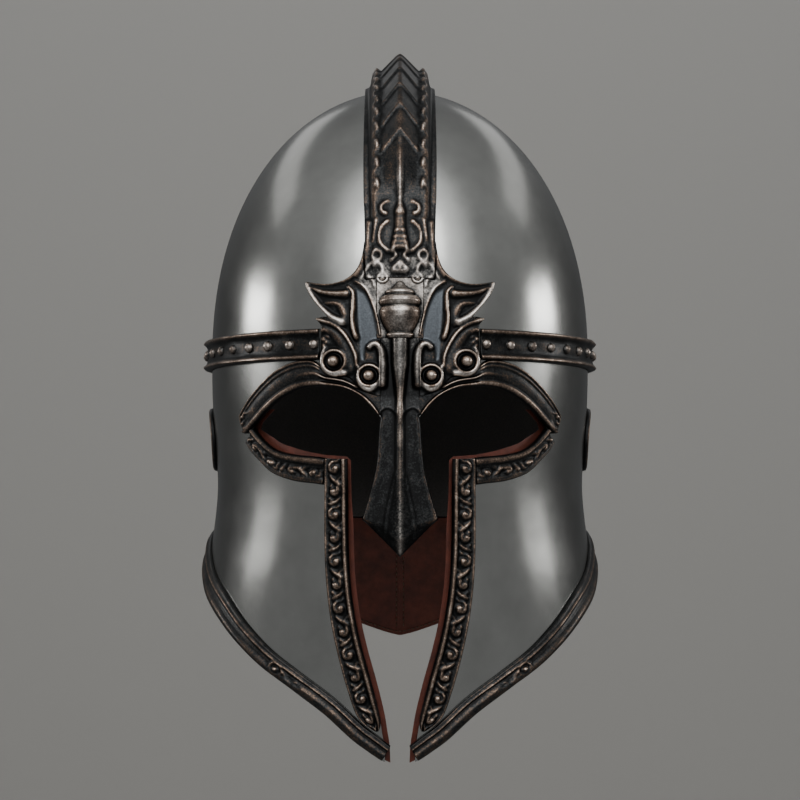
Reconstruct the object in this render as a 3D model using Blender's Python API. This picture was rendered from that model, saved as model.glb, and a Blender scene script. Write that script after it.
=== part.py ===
"""A visored war helmet: two crown plates under a cast comb, and a wraparound face guard under a
studded brow band, with cast trims on every edge and a leather lining. Metres, +Z up, the wearer
looks along -Y. The origin is the centre of the brow line, where the helmet sits on the head.

Most pieces lie on one surface, the outside of the steel. A place on it is a turn (radians round
the head from the front, positive towards +X) and a level z."""

import math
from collections import namedtuple

import bmesh
import bpy
from mathutils import Vector

# Driving dimensions of the steel
HALF_WIDTH = 0.1047
FRONT_REACH = 0.121
BACK_REACH = 0.127
BOWL_HEIGHT = 0.151
BOWL_POWER = 2.2
CHEEK_DROP = 0.2115
PLATE = 0.0016
GAP = 0.0003

# Driving dimensions of the lining
LINING_GAP = 0.0008
PADDING = 0.0030
LEATHER = 0.0026
LEATHER_SHOWS = 0.0017
LEATHER_BLUNT = 0.45
HEM_SHOWS = 0.0040
SEAM_GAP = 0.0018
CHEEK_LEATHER_TOP = -0.0300
CHEEK_LEATHER_START = math.radians(2)
CHEEK_LEATHER_END = math.radians(72)
NECK_LEATHER_TOP = -0.0878
BROW_PADDING_HALF_WIDTH = 0.0785

# Driving dimensions of the castings
TRIM_HEIGHT = 0.0036
BAND_WIDTH = 0.0158
BAND_HEIGHT = 0.0046
BAND_LEVEL = 0.0023
BAND_END = math.radians(22.5)
FIELD_DEPTH = 0.45
CREST_HALF_WIDTH = 0.0183
CREST_HEIGHT = 0.0205
CREST_START = math.radians(11.7)
CREST_END = math.radians(175.5)
FEATHER_LAG = math.radians(1.1)
FEATHER_WIDTH = 0.22
FEATHER_DIP = 0.90
FINIAL_HALF_WIDTH = 0.0106
FINIAL_HEIGHT = 0.0115
NASAL_HALF_WIDTH = 0.0183
NASAL_HEIGHT = 0.0075
SCROLL_THICKNESS = 0.0042
VOLUTE_RADIUS = 0.0061
VOLUTE_HEIGHT = 0.0068
EAR_BOSS_RADIUS = 0.0176
EAR_BOSS_HEIGHT = 0.0024
EAR_BOSS_LEVEL = -0.0435

# Driving dimensions of the studs
STUD_RADIUS = 0.0026
STUD_HEIGHT = 0.0022
FIRST_STUD = math.radians(24.0)
STUD_PITCH = math.radians(7.7)
STUDS_A_SIDE = 19

# How finely the curves are cut
CROWN_TURNS = 20
CROWN_RINGS = 9
GUARD_TURNS = 48
GUARD_ROWS = 7
OPENING_CUTS = (14, 13, 14)
CHEEK_TURNS = 9
CHEEK_ROWS = 5
NECK_TURNS = 18
NECK_ROWS = 3
PADDING_TURNS = 22
PADDING_RINGS = 5
PADDING_ROWS = 5
CREST_CUTS = 32
RIM_CUTS = 56
BAND_CUTS = 44
BROW_CUTS = 13
LID_CUTS = 9
CHEEK_CUTS = 12
FINIAL_CUTS = 14
NASAL_CUTS = 16
SCROLL_COLUMNS = 4
SCROLL_ROWS = 7
STUD_SIDES = 6
VOLUTE_SIDES = 10
EAR_SIDES = 12
FULL_TURN = 2 * math.pi
HALF_TURN = math.pi
STEP = 1e-4

# Planes where the cutters from the front end, as shares of FRONT_REACH
OPENING_CUT_END = -0.125
SCROLL_CUT_END = -0.250

# Sections of the steel from the brow line down to the level of the cheek tips, evenly spaced:
# shares of HALF_WIDTH, FRONT_REACH and BACK_REACH
Section = namedtuple("Section", "width front back")
SECTIONS = [
    Section(1.000, 1.000, 1.000),
    Section(0.996, 1.000, 0.990),
    Section(0.979, 0.998, 0.957),
    Section(0.968, 0.992, 0.927),
    Section(0.988, 0.986, 0.943),
    Section(1.024, 0.977, 1.007),
    Section(1.047, 0.964, 1.071),
    Section(1.062, 0.943, 1.124),
    Section(1.070, 0.919, 1.171),
    Section(1.076, 0.887, 1.211),
]

# Lower edge of the steel every 10 degrees from the chin to the nape: share of CHEEK_DROP, and the
# width of the lower rim as a share of RIM_WIDTH
RIM_WIDTH = 0.0150
Edge = namedtuple("Edge", "drop rim")
LOWER_EDGE = [
    Edge(1.000, 0.42), Edge(0.952, 0.58), Edge(0.875, 0.64), Edge(0.816, 0.65), Edge(0.766, 0.70),
    Edge(0.712, 0.80), Edge(0.660, 0.95), Edge(0.615, 1.00), Edge(0.565, 1.00), Edge(0.525, 1.00),
    Edge(0.506, 0.95), Edge(0.505, 0.90), Edge(0.522, 0.85), Edge(0.556, 0.80), Edge(0.598, 0.80),
    Edge(0.642, 0.80), Edge(0.682, 0.80), Edge(0.717, 0.80), Edge(0.742, 0.80),
]

# Edge of the face opening on one side, as shares: across of HALF_WIDTH, drop of CHEEK_DROP, and
# the width of the trim along it as a share of TRIM_WIDTH
TRIM_WIDTH = 0.0135
Rim = namedtuple("Rim", "across drop trim")
BROW_EDGE = [
    Rim(0.142, 0.137, 0.16), Rim(0.191, 0.112, 0.20), Rim(0.267, 0.0945, 0.24),
    Rim(0.355, 0.0885, 0.42), Rim(0.405, 0.0885, 0.86), Rim(0.480, 0.0935, 0.98),
    Rim(0.560, 0.1110, 1.00), Rim(0.635, 0.1380, 0.98), Rim(0.700, 0.1700, 0.95),
    Rim(0.752, 0.1960, 0.80), Rim(0.772, 0.2060, 0.62),
]
BROW_TRIM_ROWS = (0.6, 10.0)
BROW_LEATHER_ROW = 2.0
EYE_CORNER_ROW = 8.4
LID_EDGE = [
    Rim(0.727, 0.1840, 0.50), Rim(0.694, 0.2040, 0.66), Rim(0.650, 0.2260, 0.78),
    Rim(0.588, 0.2450, 0.90), Rim(0.500, 0.2550, 0.98), Rim(0.400, 0.2600, 1.00),
    Rim(0.363, 0.2625, 1.00), Rim(0.262, 0.2665, 1.00),
]
LID_TRIM_ROWS = (0.35, 6.0)
CHEEK_EDGE = [
    Rim(0.254, 0.2690, 0.86), Rim(0.251, 0.3600, 0.90), Rim(0.249, 0.4600, 0.91),
    Rim(0.240, 0.5550, 0.91), Rim(0.216, 0.6450, 0.92), Rim(0.180, 0.7250, 0.93),
    Rim(0.138, 0.8000, 0.93), Rim(0.103, 0.8700, 0.80), Rim(0.086, 0.9200, 0.30),
    Rim(0.074, 0.9700, 0.30), Rim(0.066, 1.1200, 0.30),
]
CHEEK_TRIM_ROWS = (0.02, 7.55)

# The tab of the face guard that carries the nose guard: shares as above
NASAL_TAB = [(0.070, 0.245), (0.072, 0.205), (0.086, 0.172), (0.110, 0.152)]
NO_TAB = [(0.110, 0.100)]

# Nose guard from the finial down: level (share of BOWL_HEIGHT above the brow line, of CHEEK_DROP
# below it), half width as a share of NASAL_HALF_WIDTH, height as a share of NASAL_HEIGHT
Rise = namedtuple("Rise", "level half height")
NASAL = [
    Rise(0.030, 0.36, 0.75), Rise(-0.020, 0.40, 0.80), Rise(-0.060, 0.48, 0.85),
    Rise(-0.104, 0.50, 0.90), Rise(-0.140, 0.53, 0.95), Rise(-0.172, 0.585, 1.00),
    Rise(-0.196, 0.555, 0.95), Rise(-0.268, 0.60, 0.92), Rise(-0.320, 0.72, 0.92),
    Rise(-0.370, 0.87, 0.95), Rise(-0.410, 1.00, 1.00), Rise(-0.450, 0.56, 1.00),
    Rise(-0.490, 0.10, 0.60),
]

# Finial from its bud down to its neck, shares as above of its own half width and height
FINIAL = [
    Rise(0.226, 0.10, 0.30), Rise(0.205, 0.45, 0.55), Rise(0.178, 0.72, 0.80), Rise(0.150, 1.00, 1.00),
    Rise(0.132, 0.86, 0.86), Rise(0.116, 1.00, 1.00), Rise(0.098, 0.92, 0.96), Rise(0.074, 0.84, 0.90),
    Rise(0.052, 0.66, 0.74), Rise(0.036, 0.76, 0.80),
]

# Comb from the brow over the crown to the nape, evenly spaced: shares of CREST_HALF_WIDTH and
# CREST_HEIGHT
Comb = namedtuple("Comb", "width height")
CREST = [
    Comb(0.93, 0.40), Comb(0.99, 0.50), Comb(1.00, 0.68), Comb(1.00, 0.88), Comb(1.00, 1.00),
    Comb(1.00, 1.00), Comb(1.00, 0.86), Comb(0.98, 0.64), Comb(0.90, 0.42),
]

# Outline of the brow scroll on one side: across as a share of HALF_WIDTH, level as above
Corner = namedtuple("Corner", "across level")
SCROLL = [
    Corner(0.178, 0.358), Corner(0.189, 0.299), Corner(0.218, 0.258), Corner(0.266, 0.231),
    Corner(0.330, 0.219), Corner(0.390, 0.221), Corner(0.453, 0.230), Corner(0.438, 0.185),
    Corner(0.399, 0.149), Corner(0.359, 0.117), Corner(0.338, 0.103), Corner(0.397, 0.101),
    Corner(0.352, 0.070), Corner(0.316, 0.042), Corner(0.338, 0.008), Corner(0.370, -0.006),
    Corner(0.379, -0.026), Corner(0.362, -0.047), Corner(0.322, -0.0535), Corner(0.272, -0.050),
    Corner(0.228, -0.072), Corner(0.200, -0.093), Corner(0.158, -0.0975), Corner(0.117, -0.087),
    Corner(0.096, -0.066), Corner(0.094, -0.035), Corner(0.090, 0.020), Corner(0.113, 0.045),
    Corner(0.113, 0.224), Corner(0.178, 0.228),
]
VOLUTES = [Corner(0.318, -0.0235), Corner(0.158, -0.0630)]

# Profiles: across as a share from one edge to the other, height as a share
LIPPED_BAND = [
    (0.0, 1.0), (0.19, 1.0), (0.25, 1 - FIELD_DEPTH), (0.75, 1 - FIELD_DEPTH), (0.81, 1.0), (1.0, 1.0),
]
RIDGE = [
    (0.0, 0.35), (0.14, 0.55), (0.38, 0.50), (0.46, 1.0), (0.54, 1.0), (0.62, 0.50), (0.86, 0.55), (1.0, 0.35),
]
HALF_ROUND = [((1 - math.cos(k * HALF_TURN / 6)) / 2, math.sin(k * HALF_TURN / 6)) for k in range(1, 6)]
COMB = [(0.0, 0.14), (0.07, 0.15), (0.11, 0.50), (0.19, 0.70), (0.27, 0.62), (0.42, 0.86)]
COMB = COMB + [(0.50, 1.0)] + [(1 - across, rise) for across, rise in reversed(COMB)]
COMB_FLANGE_POINTS = 2
COMB_UNDERSIDE = [(1.0, 0.0), (0.72, 0.0), (0.5, 0.0), (0.28, 0.0)]

# Rings of the turned bosses: radius and height as shares, from the base up to the top
VOLUTE_RINGS = [(1.0, 0.62), (0.86, 0.80), (0.66, 0.62), (0.52, 0.62), (0.44, 0.88)]
EAR_RINGS = [(1.0, 0.80), (0.90, 1.00), (0.80, 0.55), (0.30, 0.60)]
STUD_RINGS = [(0.80, 0.62)]


def level(share):
    """Height above the brow line of a share: of the bowl above it, of the cheeks below it."""
    return share * (BOWL_HEIGHT if share > 0 else CHEEK_DROP)


def smooth(rows, at):
    """The row at a fractional place in a table, on a smooth curve through its rows. The curve is
    level where a table of sections ends."""
    last = len(rows) - 1
    at = min(max(at, 0.0), float(last))
    first = min(int(at), last - 1)
    t = at - first
    p1, p2 = rows[first], rows[first + 1]
    p0 = rows[first - 1] if first > 0 else rows[1] if isinstance(p1, (Section, Edge)) else p1
    p3 = rows[first + 2] if first + 2 <= last else p2
    return type(p1)(*[
        b + 0.5 * t * (c - a + t * (2 * a - 5 * b + 4 * c - d + t * (3 * (b - c) + d - a)))
        for a, b, c, d in zip(p0, p1, p2, p3)
    ])


def section(z, out):
    """Half width, mid reach and lean of the plan of the steel at a level, moved out by out."""
    if z >= 0:
        shares = Section(1.0, 1.0, 1.0)
    else:
        shares = smooth(SECTIONS, -z / CHEEK_DROP * (len(SECTIONS) - 1))
    front = shares.front * FRONT_REACH + out
    back = shares.back * BACK_REACH + out
    return shares.width * HALF_WIDTH + out, (front + back) / 2, (front - back) / 2


def bowl_share(z, out):
    """Size of the bowl's plan at a level, as a share of its plan at the brow."""
    if z <= 0:
        return 1.0
    return math.sqrt(max(0.0, 1 - (z / (BOWL_HEIGHT + out)) ** BOWL_POWER))


def plan_point(sideways, forward, z, out):
    """Point of the steel from its place in the plan, each from -1 to 1."""
    width, middle, lean = section(z, out)
    return Vector((width * sideways, -(middle * forward + lean * forward * forward), z))


def surface(turn, z, out=0.0):
    """Point of the steel at a turn and a level, moved out by out."""
    share = bowl_share(z, out)
    return plan_point(share * math.sin(turn), share * math.cos(turn), z, out)


def tangents(turn, z):
    """The way round and the way up at a place on the steel, each per unit of turn or level."""
    around = (surface(turn + STEP, z) - surface(turn - STEP, z)) / (2 * STEP)
    upward = (surface(turn, z + STEP) - surface(turn, z - STEP)) / (2 * STEP)
    return around, upward


def lifted(turn, z, height):
    """Point at a height above the steel, square to it."""
    around, upward = tangents(turn, z)
    return surface(turn, z) + around.cross(upward).normalized() * height


def turn_of(across, z):
    """Turn of the point on the front that lies across metres from the middle."""
    width = section(z, 0.0)[0] * bowl_share(z, 0.0)
    return math.asin(max(-1.0, min(1.0, across / width)))


def comb_point(across, over, height):
    """Point above the bowl at a distance from its middle line and an angle over the crown."""

    def base(side, angle):
        sideways = math.asin(side / HALF_WIDTH)
        rise = max(0.0, math.cos(sideways) * math.sin(angle))
        z = BOWL_HEIGHT * rise ** (2 / BOWL_POWER)
        return plan_point(math.sin(sideways), math.cos(sideways) * math.cos(angle), z, 0.0)

    sidewards = base(across + STEP, over) - base(across - STEP, over)
    onwards = base(across, over + STEP) - base(across, over - STEP)
    return base(across, over) + sidewards.cross(onwards).normalized() * height


def finish(colour, roughness, metallic):
    """A shader for one finish."""
    material = bpy.data.materials.new("finish")
    material.use_nodes = True
    shader = material.node_tree.nodes["Principled BSDF"]
    shader.inputs["Base Color"].default_value = (*colour, 1.0)
    shader.inputs["Roughness"].default_value = roughness
    shader.inputs["Metallic"].default_value = metallic
    return material


def steel():
    return finish((0.42, 0.42, 0.40), 0.28, 1.0)


def pewter():
    return finish((0.10, 0.085, 0.07), 0.42, 1.0)


def rubbed_pewter():
    return finish((0.35, 0.30, 0.26), 0.34, 1.0)


def padding():
    return finish((0.012, 0.012, 0.012), 0.9, 0.0)


def red_leather():
    return finish((0.16, 0.045, 0.028), 0.6, 0.0)


def dark_leather():
    return finish((0.06, 0.018, 0.014), 0.65, 0.0)


def place(name, mesh, material, parent):
    """Put a mesh in the scene as one named piece of the helmet."""
    piece = bpy.data.objects.new(name, mesh)
    bpy.context.scene.collection.objects.link(piece)
    piece.parent = parent
    if not mesh.materials:
        mesh.materials.append(material)
        mesh.shade_smooth()
        mesh.set_sharp_from_angle(angle=math.radians(35))
    return piece


def close_up(name, points, faces):
    """A closed mesh from points and faces, with its faces turned outwards."""
    shape = bmesh.new()
    corners = [shape.verts.new(point) for point in points]
    for face in faces:
        shape.faces.new([corners[k] for k in face])
    bmesh.ops.recalc_face_normals(shape, faces=shape.faces)
    mesh = bpy.data.meshes.new(name)
    shape.to_mesh(mesh)
    shape.free()
    return mesh


def bridge(rings, joined):
    """Faces between rings of equal length, and over both ends unless the last joins the first."""
    size = len(rings[0])
    faces = []
    for k in range(len(rings) - (0 if joined else 1)):
        here = k * size
        after = (k + 1) % len(rings) * size
        for j in range(size):
            i = (j + 1) % size
            faces.append((here + j, here + i, after + i, after + j))
    if not joined:
        faces.append(tuple(range(size)))
        faces.append(tuple(range((len(rings) - 1) * size, len(rings) * size)))
    return faces


def sweep(name, rings, joined=False):
    """A closed mesh through rings of points."""
    return close_up(name, [point for ring in rings for point in ring], bridge(rings, joined))


def ribbon(name, route, count, profile, height):
    """A trim that lies on the steel. route gives, for 0 to 1, its turn, level and the distances of
    its two edges from there, square to its run."""
    rings = []
    for k in range(count + 1):
        t = k / count
        turn, z, near, far = route(t)
        before = route(max(0.0, t - STEP))
        after = route(min(1.0, t + STEP))
        around, upward = tangents(turn, z)
        run = Vector(((after[0] - before[0]) * around.length, (after[1] - before[1]) * upward.length))
        run.normalize()
        shape = [(0.0, 0.0)] + profile + [(1.0, 0.0), (0.5, 0.0)]
        ring = []
        for across, rise in shape:
            side = near + (far - near) * across
            place_turn = turn - run.y * side / around.length
            place_z = z + run.x * side / upward.length
            ring.append(lifted(place_turn, place_z, GAP + rise * height))
        rings.append(ring)
    return sweep(name, rings)


def upright(name, rows, half_width, height, profile, count):
    """A casting down the middle of the front, from a table of its sections."""

    def route(t):
        row = smooth(rows, t * (len(rows) - 1))
        return 0.0, level(row.level), -row.half * half_width, row.half * half_width

    mesh = ribbon(name, route, count, profile, height)
    size = len(profile) + 3
    for index, corner in enumerate(mesh.vertices):
        row = smooth(rows, index // size / count * (len(rows) - 1))
        base = surface(turn_of(corner.co.x, corner.co.z), corner.co.z)
        rise = corner.co.y - base.y
        corner.co.y = base.y + min(-GAP, rise * row.height if rise < -2 * GAP else rise)
    return mesh


def boss(name, turn, z, radius, height, rings, sides, seat):
    """A turned boss that lies on the steel, seat above it."""
    around, upward = tangents(turn, z)

    def ring(share, rise):
        circle = [k * FULL_TURN / sides for k in range(sides)]
        return [
            lifted(
                turn + radius * share * math.cos(angle) / around.length,
                z + radius * share * math.sin(angle) / upward.length,
                seat + height * rise,
            )
            for angle in circle
        ]

    loops = [ring(0.5, 0.0), ring(1.0, 0.0)] + [ring(*row) for row in rings]
    points = [point for loop in loops for point in loop]
    faces = bridge(loops, False)[:-2]
    points.append(lifted(turn, z, seat))
    points.append(lifted(turn, z, seat + height))
    top = (len(loops) - 1) * sides
    for j in range(sides):
        i = (j + 1) % sides
        faces.append((len(points) - 2, j, i))
        faces.append((len(points) - 1, top + j, top + i))
    return close_up(name, points, faces)


def shell(name, turns, edges, outer, inner, joined):
    """A wall between two offsets of the steel. edges gives the levels down one turn."""
    rings = []
    for turn in turns:
        levels = edges(turn)
        ring = [surface(turn, z, outer) for z in levels]
        ring += [surface(turn, z, inner) for z in reversed(levels)]
        rings.append(ring)
    return sweep(name, rings, joined)


def between(first, last, count):
    """Evenly spaced values from first to last, in count steps."""
    return [first + (last - first) * k / count for k in range(count + 1)]


def lower_edge(turn):
    """Row of the lower edge table at a turn on either side."""
    turn = abs((turn + HALF_TURN) % FULL_TURN - HALF_TURN)
    return smooth(LOWER_EDGE, turn / HALF_TURN * (len(LOWER_EDGE) - 1))


def bottom(turn):
    return -lower_edge(turn).drop * CHEEK_DROP


def rim_point(row):
    """Turn and level of a row of the face opening."""
    z = -row.drop * CHEEK_DROP
    return turn_of(row.across * HALF_WIDTH, z), z


def outline(inset, blunt, tab, first_row):
    """Outline of the face opening seen from the front, moved inwards by inset, as (x, z). blunt is
    how many rows of the tables its outer corner is cut back by, and tab its edge at the nose, up to
    the first row of the brow."""
    half = [(x * HALF_WIDTH, -drop * CHEEK_DROP) for x, drop in tab]
    runs = [
        (BROW_EDGE, first_row, EYE_CORNER_ROW - blunt),
        (LID_EDGE, blunt, len(LID_EDGE) - 1.0),
        (CHEEK_EDGE, 0.0, len(CHEEK_EDGE) - 1.0),
    ]
    for (rows, start, end), count in zip(runs, OPENING_CUTS):
        for k in range(count + 1):
            row = smooth(rows, start + (end - start) * k / count)
            half.append((row.across * HALF_WIDTH, -row.drop * CHEEK_DROP))
    points = [Vector(point) for point in half]
    points += [Vector((-x, z)) for x, z in reversed(half)]
    moved = []
    for k, point in enumerate(points):
        run = (points[(k + 1) % len(points)] - points[k - 1]).normalized()
        moved.append(point + Vector((run.y, -run.x)) * inset)
    return moved


def cut(piece, cutters, operation="DIFFERENCE"):
    """Cut a piece by each cutter in turn, or join them to it."""
    for cutter in cutters:
        modifier = piece.modifiers.new("cut", "BOOLEAN")
        modifier.operation = operation
        modifier.solver = "EXACT"
        modifier.object = cutter
        cutter.hide_render = True
        cutter.display_type = "WIRE"


def prism(name, points, back, parent):
    """A cutter: an outline in the front view, run from before the helmet to a plane y = back."""
    rings = [[Vector((x, y, z)) for x, z in points] for y in (-2 * FRONT_REACH, back)]
    return place(name, sweep(name, rings), pewter(), parent)


def make_skull(side, parent):
    """One half of the crown, from the brow line up to the seam under the comb."""
    name = "skull_plate_left" if side > 0 else "skull_plate_right"

    def half(out):
        rings = []
        for k in range(CROWN_TURNS + 1):
            turn = k * HALF_TURN / CROWN_TURNS
            ring = []
            for j in range(CROWN_RINGS):
                rise = j * HALF_TURN / 2 / CROWN_RINGS
                z = (BOWL_HEIGHT + out) * math.sin(rise) ** (2 / BOWL_POWER)
                share = math.cos(rise)
                point = plan_point(share * math.sin(turn), share * math.cos(turn), max(z, GAP / 2), out)
                point.x = GAP / 2 + point.x * (1 - GAP / 2 / HALF_WIDTH)
                ring.append(Vector((side * point.x, point.y, point.z)))
            rings.append(ring)
        return rings

    outer = half(0.0)
    inner = half(-PLATE)
    points = [point for ring in outer + inner for point in ring]
    size = CROWN_RINGS
    start = len(outer) * size
    faces = []
    for first in (0, start):
        for k in range(CROWN_TURNS):
            for j in range(size - 1):
                here = first + k * size + j
                faces.append((here, here + 1, here + size + 1, here + size))
    apex_out = len(points)
    points.append(Vector((side * GAP / 2, 0.0, BOWL_HEIGHT)))
    apex_in = len(points)
    points.append(Vector((side * GAP / 2, 0.0, BOWL_HEIGHT - PLATE)))
    for k in range(CROWN_TURNS):
        for first, apex in ((0, apex_out), (start, apex_in)):
            here = first + k * size + size - 1
            faces.append((here, apex, here + size))
        faces.append((k * size, (k + 1) * size, start + (k + 1) * size, start + k * size))
    for k in (0, CROWN_TURNS):
        for j in range(size - 1):
            here = k * size + j
            faces.append((here, here + 1, start + here + 1, start + here))
        here = k * size + size - 1
        faces.append((here, apex_out, apex_in, start + here))
    return place(name, close_up(name, points, faces), steel(), parent)


def make_face_guard(parent, opening):
    """The wraparound guard with cheeks and nape, and the eye and mouth opening cut out of it."""
    turns = [k * FULL_TURN / GUARD_TURNS for k in range(GUARD_TURNS)]

    def edges(turn):
        return between(-GAP / 2, bottom(turn), GUARD_ROWS)

    mesh = shell("face_guard", turns, edges, 0.0, -PLATE, True)
    guard = place("face_guard", mesh, steel(), parent)
    cut(guard, [opening])
    return guard


def make_brow_band(parent):
    """The band over the joint of crown and guard, open at the front under the scrolls."""

    def route(t):
        return BAND_END + (FULL_TURN - 2 * BAND_END) * t, BAND_LEVEL, -BAND_WIDTH / 2, BAND_WIDTH / 2

    mesh = ribbon("brow_band", route, BAND_CUTS, LIPPED_BAND, BAND_HEIGHT)
    return place("brow_band", mesh, pewter(), parent)


def make_studs(parent):
    """Domed studs seated in the field of the band, from each of its ends back to the comb's tail."""
    seat = 2 * GAP + (1 - FIELD_DEPTH) * BAND_HEIGHT
    loops = []
    for radius, rise in [(1.0, 0.0)] + STUD_RINGS:
        angles = [k * FULL_TURN / STUD_SIDES for k in range(STUD_SIDES)]
        across = STUD_RADIUS * radius
        z = STUD_HEIGHT * rise
        loops.append([Vector((across * math.cos(angle), across * math.sin(angle), z)) for angle in angles])
    points = [point for loop in loops for point in loop] + [Vector((0.0, 0.0, STUD_HEIGHT))]
    faces = bridge(loops, False)[:-1]
    top = (len(loops) - 1) * STUD_SIDES
    faces += [(top + k, top + (k + 1) % STUD_SIDES, len(points) - 1) for k in range(STUD_SIDES)]
    mesh = close_up("brow_stud", points, faces)
    for k in range(2 * STUDS_A_SIDE):
        side = 1 if k < STUDS_A_SIDE else -1
        turn = side * (FIRST_STUD + k % STUDS_A_SIDE * STUD_PITCH)
        around, upward = tangents(turn, BAND_LEVEL)
        normal = around.cross(upward).normalized()
        stud = place(f"brow_stud_{k + 1:02d}", mesh, rubbed_pewter(), parent)
        stud.location = surface(turn, BAND_LEVEL) + normal * seat
        stud.rotation_euler = normal.to_track_quat("Z", "Y").to_euler()


def make_crest(parent):
    """The comb: flanges on the bowl, a raised rail on each side and a feathered spine."""
    rings = []
    for k in range(CREST_CUTS + 1):
        t = k / CREST_CUTS
        row = smooth(CREST, t * (len(CREST) - 1))
        over = CREST_START + (CREST_END - CREST_START) * t
        half = row.width * CREST_HALF_WIDTH
        ring = []
        for index, (across, rise) in enumerate([(0.0, 0.0)] + COMB + COMB_UNDERSIDE):
            side = 2 * across - 1
            inner = COMB_FLANGE_POINTS < index <= len(COMB) - COMB_FLANGE_POINTS
            lag = max(0.0, 1 - abs(side) / FEATHER_WIDTH) if inner and 0 < k < CREST_CUTS else 0.0
            dip = FEATHER_DIP if inner and k % 2 else 1.0
            lift = GAP + rise * dip * (row.height if inner else 1.0) * CREST_HEIGHT
            ring.append(comb_point(side * half, over + lag * FEATHER_LAG, lift))
        rings.append(ring)
    return place("crest", sweep("crest", rings), pewter(), parent)


def make_lower_rim(parent):
    """The trim round the lower edge, from one cheek tip round the nape to the other."""
    tip = CHEEK_EDGE[8].across * HALF_WIDTH
    start = turn_of(tip + GAP, -CHEEK_DROP)

    def route(t):
        turn = start + (FULL_TURN - 2 * start) * t
        return turn, bottom(turn), 0.0, lower_edge(turn).rim * RIM_WIDTH

    mesh = ribbon("lower_rim", route, RIM_CUTS, LIPPED_BAND, TRIM_HEIGHT)
    return place("lower_rim", mesh, pewter(), parent)


def make_edge_trim(name, side, rows, ends, count, parent):
    """A trim along one run of the face opening, between two rows of its table. side is 1 on the
    wearer's left, -1 on the right."""

    def route(t):
        row = smooth(rows, ends[0] + (ends[1] - ends[0]) * t)
        turn, z = rim_point(row)
        return side * turn, z, side * GAP, side * row.trim * TRIM_WIDTH

    return place(name, ribbon(name, route, count, LIPPED_BAND, TRIM_HEIGHT), pewter(), parent)


def make_finial(parent):
    """The baluster under the comb."""
    mesh = upright("finial", FINIAL, FINIAL_HALF_WIDTH, FINIAL_HEIGHT, HALF_ROUND, FINIAL_CUTS)
    return place("finial", mesh, rubbed_pewter(), parent)


def make_nasal(parent):
    """The nose guard, with a ridge down its middle and a flared chisel end."""
    mesh = upright("nasal", NASAL, NASAL_HALF_WIDTH, NASAL_HEIGHT, RIDGE, NASAL_CUTS)
    return place("nasal", mesh, pewter(), parent)


def make_brow_scroll(side, parent):
    """The horned casting beside the finial, with a ball in each of its two volutes."""
    name = "brow_scroll_left" if side > 0 else "brow_scroll_right"
    points = [Vector((side * c.across * HALF_WIDTH, level(c.level))) for c in SCROLL]
    xs = [abs(point.x) for point in points]
    zs = [point.y for point in points]
    margin = 4 * GAP
    low, high = min(zs) - margin, max(zs) + margin
    near, far = min(xs) - margin, max(xs) + margin

    def layer(lift):
        grid = []
        for i in range(SCROLL_COLUMNS + 1):
            for j in range(SCROLL_ROWS + 1):
                z = low + (high - low) * j / SCROLL_ROWS
                x = near + (far - near) * i / SCROLL_COLUMNS
                grid.append(lifted(side * turn_of(x, z), z, lift))
        return grid

    corners = layer(GAP) + layer(GAP + SCROLL_THICKNESS)
    stride = SCROLL_ROWS + 1
    start = len(corners) // 2
    faces = []
    for first in (0, start):
        for i in range(SCROLL_COLUMNS):
            for j in range(SCROLL_ROWS):
                here = first + i * stride + j
                faces.append((here, here + 1, here + stride + 1, here + stride))
    border = list(range(SCROLL_ROWS))
    border += [i * stride + SCROLL_ROWS for i in range(SCROLL_COLUMNS)]
    border += [SCROLL_COLUMNS * stride + j for j in range(SCROLL_ROWS, 0, -1)]
    border += [i * stride for i in range(SCROLL_COLUMNS, 0, -1)]
    for k, here in enumerate(border):
        after = border[(k + 1) % len(border)]
        faces.append((here, after, start + after, start + here))
    casting = place(name, close_up(name, corners, faces), pewter(), parent)
    cut(casting, [prism(name + "_outline", points, SCROLL_CUT_END * FRONT_REACH, parent)], "INTERSECT")
    bosses = []
    for k, centre in enumerate(VOLUTES):
        z = level(centre.level)
        turn = side * turn_of(centre.across * HALF_WIDTH, z)
        seat = SCROLL_THICKNESS / 3
        mesh = boss("volute", turn, z, VOLUTE_RADIUS, VOLUTE_HEIGHT, VOLUTE_RINGS, VOLUTE_SIDES, seat)
        bosses.append(place(f"{name}_volute_{k + 1}", mesh, rubbed_pewter(), parent))
    cut(casting, bosses, "UNION")
    return casting


def make_ear_boss(side, parent):
    """A low round boss over the ear."""
    name = "ear_boss_left" if side > 0 else "ear_boss_right"
    turn = side * HALF_TURN / 2
    mesh = boss(name, turn, EAR_BOSS_LEVEL, EAR_BOSS_RADIUS, EAR_BOSS_HEIGHT, EAR_RINGS, EAR_SIDES, GAP)
    return place(name, mesh, pewter(), parent)


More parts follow.
